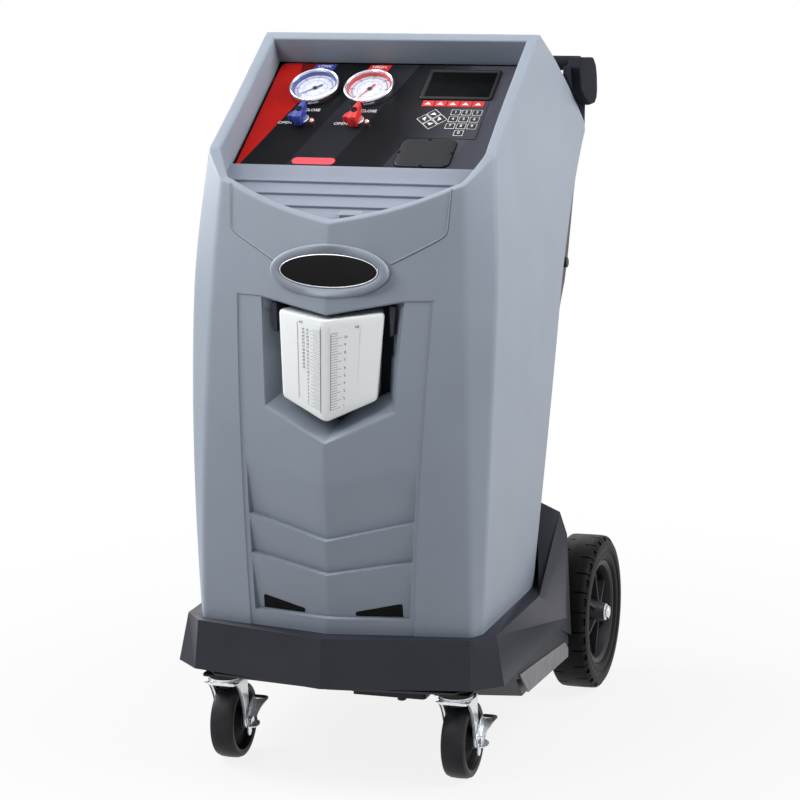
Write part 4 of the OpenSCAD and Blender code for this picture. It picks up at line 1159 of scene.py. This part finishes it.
def bottle_scales():
    labels = [bottle_strip(s, 0.09, 0.60, 0.07, 0.94, 0.7, 12) for s in (1, -1)]
    piece("bottle_label", labels, LABEL, "bottle", angle=20)
    ticks, words = [], []
    lines = [bottle_strip(1, 0.105, 0.113, 0.10, 0.86), bottle_strip(-1, 0.085, 0.092, 0.08, 0.90),
             bottle_strip(-1, 0.57, 0.576, 0.12, 0.92)]
    for i in range(30):
        t = 0.10 + 0.76 * i / 29
        long = i % 3 == 0
        ticks.append(bottle_strip(1, 0.113, 0.30 if long else 0.23, t - 0.0016, t + 0.0016))
        if long:
            words.append((str(i // 3 + 1), 5.6, bottle_frame(1, 0.36, t)))
    for i in range(44):
        t = 0.10 + 0.78 * i / 43
        far = 0.30 if i % 2 == 0 else 0.24
        ticks.append(bottle_strip(-1, 0.10, far, t - 0.0012, t + 0.0012))
        if i % 2 == 0:
            words.append((str(i // 2 + 1), 4.6, bottle_frame(-1, 0.36, t)))
            if i > 18:
                words.append((str((i // 2 + 1) * 3), 4.6, bottle_frame(-1, 0.45, t)))
    words += [("oz", 6.5, bottle_frame(1, 0.55, 0.90)), ("ml", 6.5, bottle_frame(-1, 0.50, 0.93))]
    piece("bottle_scales", join(*lines, *ticks), SCALE_INK, "bottle", angle=20)
    piece("bottle_numbers", lettering(words), SCALE_INK, "bottle", angle=20)


GROOVE = [(178, 914), (177.4, 900), (176.4, 878), (175.3, 858), (174.4, 851), (172, 846), (167, 842),
          (160, 837.5), (134, 823.8), (110, 811.5), (94, 803.5)]


def groove_line():
    """The seam from the rim down and across to the oval: a strip in painted groove shade beside a raised
    lip.
    """
    lips, groove_shades = [], []
    for s in (1, -1):
        rows = []
        for i, (x, z) in enumerate(GROOVE):
            a, b = GROOVE[max(0, i - 1)], GROOVE[min(len(GROOVE) - 1, i + 1)]
            d = Vector((b[0] - a[0], b[1] - a[1])).normalized()
            out = Vector((d.y, -d.x))
            rows.append([(x + out.x * o, z + out.y * o, h) for o, h in
                         ((-1, -0.6), (-0.7, 0.25), (0.4, 0.3), (0.5, -0.2), (0.9, 1.1), (1.7, 1.25),
                          (3.4, -0.5))])
        verts = [(s * x, front_y(x, z) - h, z) for row in rows for x, z, h in row]
        faces = grid_faces(len(rows), 7)
        groove_shades.append((verts, [f for k, f in enumerate(faces) if k % 6 in (0, 1, 2)]))
        lips.append((verts, [f for k, f in enumerate(faces) if k % 6 in (3, 4, 5)]))
    piece("groove_painted_shade", groove_shades, GROOVE_SHADE, angle=30)
    piece("groove_lip", lips, HOOD, angle=60)


badge()
groove_line()
vents()
bottle()
bottle_scales()


# Wheels

def wheel_matrix(x, y, z, side):
    """Local z is the outward axle direction of a wheel on that side."""
    return translate((x, y, z)) @ Matrix(((0, 0, side), (0, 1, 0), (-side, 0, 0))).to_4x4()


def tyre():
    """Square-shouldered tyre with thin slots and chamfer pockets on its shoulders."""
    half = [(0, 129.8), (10.4, 129.8), (11.2, 129.7), (20, 129.6), (26.4, 129), (28.2, 127.8), (29, 126.6),
            (31.8, 122.6), (32.6, 121.2), (33.4, 117), (34, 112), (33.8, 108), (32.6, 104.8), (31.2, 103.4),
            (31, 101), (31.8, 98.6), (31.4, 94), (29.6, 90.4), (27, 88.2)]
    profile = [(-x, r) for x, r in half[:0:-1]] + half
    phases = [(0, 0, 0), (0.014, 1, 0), (0.066, 1, 0), (0.080, 0, 0), (0.32, 0, 0), (0.334, 0, 1),
              (0.70, 0, 1), (0.714, 0, 0)]
    count = 24
    rows = []
    for k in range(count):
        for phase, slot, pocket in phases:
            row = []
            for x, r in profile:
                wide, out = abs(x), r
                shift = 0.5 if x < 0 else 0
                if slot and 11 < wide and r > 121.8:
                    out -= 4.6
                if pocket and 121.8 < r < 127:
                    out -= 2.6
                    wide -= 1.6
                a = 2 * pi * (k + phase + shift) / count
                row.append((out * cos(a), out * sin(a), copysign(wide, x)))
            rows.append(row)
    return stack([*rows, rows[0]])


def hub():
    """Dished hub with six ribbed spokes between the bore and the rim."""
    w = 34
    rim = [(88, -w + 7), (88, w - 7), (85, w - 6.4), (82, w - 7.2), (79, w - 10), (77, w - 17), (75, 6),
           (73.5, 4.6), (73.5, -4.6), (75, -6), (76, -w + 8), (80, -w + 6), (84, -w + 6)]
    boss = [(8.2, -w), (20.5, -w), (22, -w + 1.5), (22, -6), (26, -5), (30, -5), (30, 5), (24, 8),
            (17, w - 8), (15.5, w - 3), (14, w), (8.2, w)]
    parts = [lathe(rim, 96, True), lathe(boss, 64, True)]
    for k in range(6):
        turn = rotate(60 * k, "Z")
        web = [(24, -15), (50, -10), (75, -16), (75, 16), (50, 10), (24, 15)]
        parts.append(moved(prism(web, -5, 5), turn))
        rib = [(16, -2, 24), (74.5, -1.5, 18), (74.5, 1.5, 18), (16, 2, 24), (16, -2.6, 4), (74.5, -2.2, 4),
               (74.5, 2.2, 4), (16, 2.6, 4)]
        parts.append(moved((rib, [(0, 1, 2, 3), (7, 6, 5, 4), (0, 4, 5, 1), (1, 5, 6, 2), (2, 6, 7, 3),
                                  (3, 7, 4, 0)]), turn))
    return join(*parts)


def nut_face(r, h0, h1):
    return soft_block(circle(r, 6), h0, h1, 0.1, 0.9)


REAR_X, REAR_Y, REAR_Z = 251, 251, 130


def rear_wheels():
    nuts = []
    for side, name in SIDES:
        at = wheel_matrix(side * REAR_X, REAR_Y, REAR_Z, side)
        body = "rear_wheel_" + name
        piece("tyre_" + name, moved(tyre(), at), RUBBER, body, "rear_tyre_" + name, angle=30)
        bevel(piece("hub_" + name, moved(hub(), at), BLACK, body, "rear_hub_" + name, angle=30), 0.8)
        washer = lathe([(8.2, 34.5), (14, 34.5), (14, 36.2), (13.2, 37), (8.2, 37)], 40, True)
        cap = lathe([(8.5, 41.5), (8, 42.4), (5, 42.8), (0.01, 43)], 32)
        nuts += [moved(part, at) for part in (washer, nut_face(11.4, 36.5, 42), cap)]
    piece("axle_nuts", nuts, CHROME, node="axle_nuts", angle=35)


def caster_wheel():
    half = [(4.3, 18.6), (10, 18.6), (14, 18.2), (16, 14.6), (30, 8.4), (42, 7.4), (46.2, 12.6),
            (47.6, 18.2), (53.4, 19.4), (58.2, 17.4), (60.4, 12), (61, 0)]
    return lathe([(r, -h) for r, h in half] + half[-2::-1], 96, True)


def side_plate(outline, x0, x1):
    """A plate across the axle from (y, z) points."""
    verts, faces = prism(outline, x0, x1)
    return [(h, y, z) for y, z, h in verts], faces


CASTER_X, KINGPIN_Y, CASTER_TOP = 190, -291, 150
AXLE_Y, AXLE_Z = 30, 61
FORK_ARCH = [bezier((-25, 136), (9, 126), (18.4, 66), k / 12) for k in range(13)]


def fork_leg():
    low = [(AXLE_Y + 12.6 * cos(radians(a)), AXLE_Z + 12.6 * sin(radians(a))) for a in range(165, 381, 12)]
    back = [bezier((42.2, 66), (34, 98), (35, 136), k / 8) for k in range(9)]
    return FORK_ARCH + low + back


def caster_fork():
    leg = fork_leg()
    parts = [side_plate(leg, 20, 23.4), side_plate(leg, -23.4, -20)]
    for s in (1, -1):
        lip = []
        for y, z in FORK_ARCH:
            lip += [(s * 23.3, y, z), (s * 25.6, y - 1.6, z - 0.4), (s * 25.6, y + 0.6, z + 0.6),
                    (s * 23.3, y + 2, z + 0.8)]
        parts.append((lip, grid_faces(13, 4, closed=True)))
    parts.append(prism(rounded(23.4, 29.5, 5, 4, (0, 5)), 131.6, 136))
    race = [(8.4, 136), (27.4, 136), (28, 137), (27.4, 138), (25.4, 138.4), (25.4, 139.4), (26.2, 140.2),
            (26, 141.6), (8.4, 141.8)]
    parts.append(lathe(race, 64))
    bolt = translate((23.4, AXLE_Y, AXLE_Z)) @ rotate(90, "Y")
    parts.append(moved(lathe([(12.2, 0), (12.2, 0.6), (10.6, 1.4), (7.4, 1.6)], 40), bolt))
    return join(*parts)


def pedal_metal():
    """Brake pedal: a pressed plate round the axle, a trough up to the pad and a tongue below."""
    x0 = 24.4
    plate = [(-8, 8), (0, 17), (12, 31), (22, 34), (31, 27), (31, 22), (21, 10), (17, 3), (20, -4),
             (17, -8), (9, -9), (7, -21), (3, -25), (-3, -24.6), (-6, -20), (-6.6, -9), (-11, -3), (-11, 3)]
    parts = [side_plate(plate, x0, x0 + 2.6)]
    trough = []
    for k in range(7):
        t = k / 6
        y, z = lerp(12, 33, t), lerp(2, 25, t)
        wide = 10 + 11 * t * t
        mid, tip = x0 + wide * 0.5, x0 + wide
        trough += [(x0, y, z), (mid, y + 1.6 + 2.2 * t, z - 0.8), (tip, y + 1 + 3 * t, z - 0.4),
                   (tip, y - 0.6 + 2 * t, z + 1.4), (mid, y - 0.4 + 1.2 * t, z + 1), (x0, y - 1.8, z + 0.8)]
    parts.append((trough, grid_faces(7, 6, closed=True)))
    shelf = []
    for k in range(7):
        t = k / 6
        y = lerp(-6, 24, t)
        z = -11 + 6 * t * t
        wide = 14 * sqrt(max(0, 1 - (2 * t - 1) ** 2)) + 1.2
        shelf += [(x0, y, z), (x0 + wide, y, z - 0.6), (x0 + wide, y, z + 1), (x0, y, z + 1.8)]
    parts.append((shelf, grid_faces(7, 4, closed=True)))
    return moved(join(*parts), translate((0, AXLE_Y, AXLE_Z)))


def pedal_pads():
    at = translate((35.9, AXLE_Y + 30, AXLE_Z + 31)) @ rotate(-24, "X")
    return moved(soft_block(rounded(11, 8.2, 6, 6), -2.6, 1.8, 0.4, 1.2), at)


def caster_mounts():
    """Top plate, bearing cup and kingpin of each caster."""
    parts = []
    for side in (1, -1):
        at = translate((CASTER_X * side, KINGPIN_Y, 0))
        plate = soft_block(rounded(29, 30, 6, 5, (0, 3)), CASTER_TOP - 4, CASTER_TOP, 0.2, 0.6)
        cup = lathe([(24, 142.2), (25.6, 142.4), (26, 143.4), (26, CASTER_TOP - 5.2),
                     (27, CASTER_TOP - 3.9)], 56)
        pin = lathe([(0.01, 123), (5, 123), (6, 123.6), (10.2, 123.6), (11, 124.2), (11, 125.4),
                     (8, 125.8)], 40)
        parts += [moved(shape, at) for shape in (plate, cup, pin)]
    bevel(piece("caster_mounts", parts, BLACK, node="caster_plates", angle=32), 0.5)


def casters():
    for side, name in SIDES:
        at = wheel_matrix(CASTER_X * side, KINGPIN_Y + AXLE_Y, AXLE_Z, 1)
        swivel = translate((CASTER_X * side, KINGPIN_Y, 0))
        bevel(piece("caster_roller_" + name, moved(caster_wheel(), at), ROLLER, "caster_roller_" + name,
                    "caster_wheel_" + name, angle=30), 0.4)
        # A disc darker than the black plastic over the wheel's recess: partly its own black and partly
        # painted shade.
        hubs = []
        for s in (1, -1):
            ring = ((14.8, 17.6), (17, 15.4), (30, 9), (42, 8), (45.8, 12.8))
            hubs.append(moved(lathe([(r, h * s) for r, h in ring], 64), at))
        piece("caster_hub_" + name, join(*hubs), PAINTED_SHADE_BLACK, "caster_roller_" + name)
        bevel(piece("caster_fork_shell_" + name, moved(caster_fork(), swivel), ZINC, "caster_" + name,
                    "caster_fork_" + name, angle=32), 0.5)
        bevel(piece("brake_lever_" + name, moved(pedal_metal(), swivel), ZINC, "brake_" + name,
                    "brake_pedal_" + name, angle=32), 0.5)
        piece("brake_pad_" + name, moved(pedal_pads(), swivel), BLACK, "brake_" + name, angle=40)


rear_wheels()
caster_mounts()
casters()


# Solids that carry over, finished

BLOCK = [(255, 1014), (280, 997), (312, 983), (343, 983), (355, 990), (359.5, 1004), (358, 1028),
         (351.6, 1046), (335.6, 1060), (269.6, 1066), (245.6, 1052)]
COVER_GAP = 22
LEG = [(280, 995), (292, 985), (327.6, 955), (329.6, 940), (336.6, 940), (341, 984), (330, 1000)]
GUARD_EDGE = [(282, 914), (276, 900), (246, 844), (225, 790), (206, 742.7), (186, 706), (163, 679.2),
              (130, 632), (108, 602)]


def pair(name, shape, mat, width, segments=2, node=None, angle=30):
    """A shape on the right side and its mirror image on the left."""
    verts, faces = shape
    for side, end in SIDES:
        turned = faces if side > 0 else [tuple(reversed(f)) for f in faces]
        half = ([(side * x, y, z) for x, y, z in verts], turned)
        bevel(piece(name + end, half, mat, node=node and node + end, angle=angle), width, segments)


def handle_brackets():
    web = [(219, 1041), (255, 1013), (264, 1048), (224, 1056)]
    shape = join(side_plate(BLOCK, 224, 248), side_plate(LEG, 224.4, 232), side_plate(web, 224.8, 232.4))
    pair("handle_bracket_shell_", shape, HANDLE, 4.5, 3, "handle_bracket_", 32)


def cover_y(z):
    """The rear cover's line, behind the hood's rear edge."""
    late = max(0, z - 700.2) / 239.8
    return 113 * ((z - 238) / 417.2) ** 1.15 + 124 * late * late


def rear_guards():
    """A sheet flange behind each rear edge of the hood, with a screw knob."""
    inner = [(cover_y(z) - 8, z) for _, z in reversed(GUARD_EDGE)]
    pair("rear_guard_", side_plate(GUARD_EDGE + inner, 232, 236), GUARD, 0.8)
    knob = lathe([(0, 0), (5.2, 0), (5.2, 2), (8.2, 2.6), (8.6, 4), (8.4, 8.6), (7, 9.6), (0, 9.8)], 28)
    pair("guard_knob_", moved(knob, translate((236, 171, 741)) @ rotate(90, "Y")), BLACK, 0.4)


def rear_details():
    """Louvres for the fan's air, with dark plates in painted shade for the gaps between them, and cover
    screws on the rear cover.
    """
    blades, gap_shades, screws = [], [], []
    for k in range(9):
        z = 628 + 13 * k
        y = cover_y(z) + COVER_GAP
        lean = (cover_y(z + 2) - cover_y(z - 2)) / 4
        blade = [(y - 0.6 - 4.4 * lean, z - 4.4), (y + 4.2 - 3.6 * lean, z - 3.8),
                 (y + 4.6 - 3 * lean, z - 2.8), (y - 0.4 + 4 * lean, z + 4)]
        blades.append(side_plate(blade, -78, 78))
        slot = [(y + o - d * lean, z - d) for o, d in ((-0.5, 7.2), (0.4, 7.2), (0.4, 4.2), (-0.5, 4.2))]
        gap_shades.append(side_plate(slot, -76, 76))
    for x, z in ((-190, 300), (190, 300), (-190, 470), (190, 600), (-190, 640), (-190, 850), (190, 850),
                 (0, 900)):
        lean = atan2(cover_y(z + 2) - cover_y(z - 2), 4)
        at = translate((x, cover_y(z) + COVER_GAP - 0.3, z)) @ Matrix.Rotation(-pi / 2 - lean, 4, "X")
        screws.append(moved(lathe([(0, 1.2), (1.6, 1.2), (1.8, 2.2), (4.6, 1.9), (5.6, 0.9), (5.8, 0)], 28),
                            at))
    bevel(piece("rear_louvres", blades, CHARCOAL, angle=30), 0.5)
    piece("rear_louvre_gaps", gap_shades, PAINTED_SHADE_BLACK, angle=30)
    piece("rear_screws", screws, ZINC, angle=40)


def skirt_edges():
    """A foot strip under each side of the skirt, lighter than the skirt: partly a lighter grey part and
    partly painted light where this band catches the light.
    """
    foot = [(-194, 150), (-150, 146.4), (72, 126), (91, 112), (91, 96), (-148.6, 108)]
    pair("skirt_foot_", side_plate(foot, 262, 264.6), SKIRT_EDGE_LIT, 0.8)


def drain_box():
    """The small box with a round plug that hangs ahead of the undertray."""
    shell = soft_block([(12.5, -262), (126, -262), (130, -258), (130, -214), (12.5, -232)], 0, 31, 0.4, 1)
    shell = moved(shell, translate((0, 0, 119)))
    plug = lathe([(0.01, 112.6), (4.6, 112.6), (6.6, 113.6), (7.4, 116), (7.4, 118), (8.6, 118.4),
                  (8.6, 119.6)], 32)
    shape = join(shell, moved(plug, translate((89, -252, 0))))
    bevel(piece("drain_box", shape, BLACK, angle=32), 0.8)


def lower_bay(v):
    """The bay's side walls end below the tyres' tops."""
    wall_top = 0.212
    if v.co.y > 0.118 and v.co.z > wall_top and abs(v.co.x) > 0.19:
        v.co.z = wall_top


handle_brackets()
rear_guards()
rear_details()
skirt_edges()
drain_box()
refine("base_tub", CHARCOAL, 3, trim=lower_bay)
for node, mat, width in (
        ("chassis_plate", SHEET, 1), ("undertray", SHEET, 2), ("rear_cover", CHARCOAL, 1.5),
        ("control_panel", FILM, 0.4), ("handle_bar", HANDLE, 1), ("bottle_holder", HOLDER_SHADED, 1.5),
        ("rear_axle", ZINC, 1), ("axle_brackets", SHEET, 0.8), ("gauge_lenses", LENS, 0.3),
        ("refrigerant_tank", TANK, 2), ("tank_valve", BRASS, 0.8), ("tank_strap", BLACK, 0.5),
        ("scale_platform", SHEET, 1.5), ("compressor", BLACK, 2), ("vacuum_pump", ALLOY, 1.5),
        ("filter_drier", BLUE, 1), ("oil_separator", ZINC, 1), ("manifold_block", ALLOY, 1),
        ("condenser", ALLOY, 0.5), ("fan_shroud", SHEET, 0.8), ("control_board", BOARD, 0.2),
        ("bulkhead", ZINC, 0.4), ("power_inlet", BLACK, 0.8), ("hose_ports", BRASS, 0.8),
        ("rear_knobs", BLACK, 1.5)):
    refine(node, mat, width)
refine("fan_rotor", BLACK, 0.4, "fan")
refine("power_switch", RED, 0.5, "rocker")
for _, name in SIDES:
    refine("caster_bolt_" + name, CHROME, 0.8, "caster_" + name)
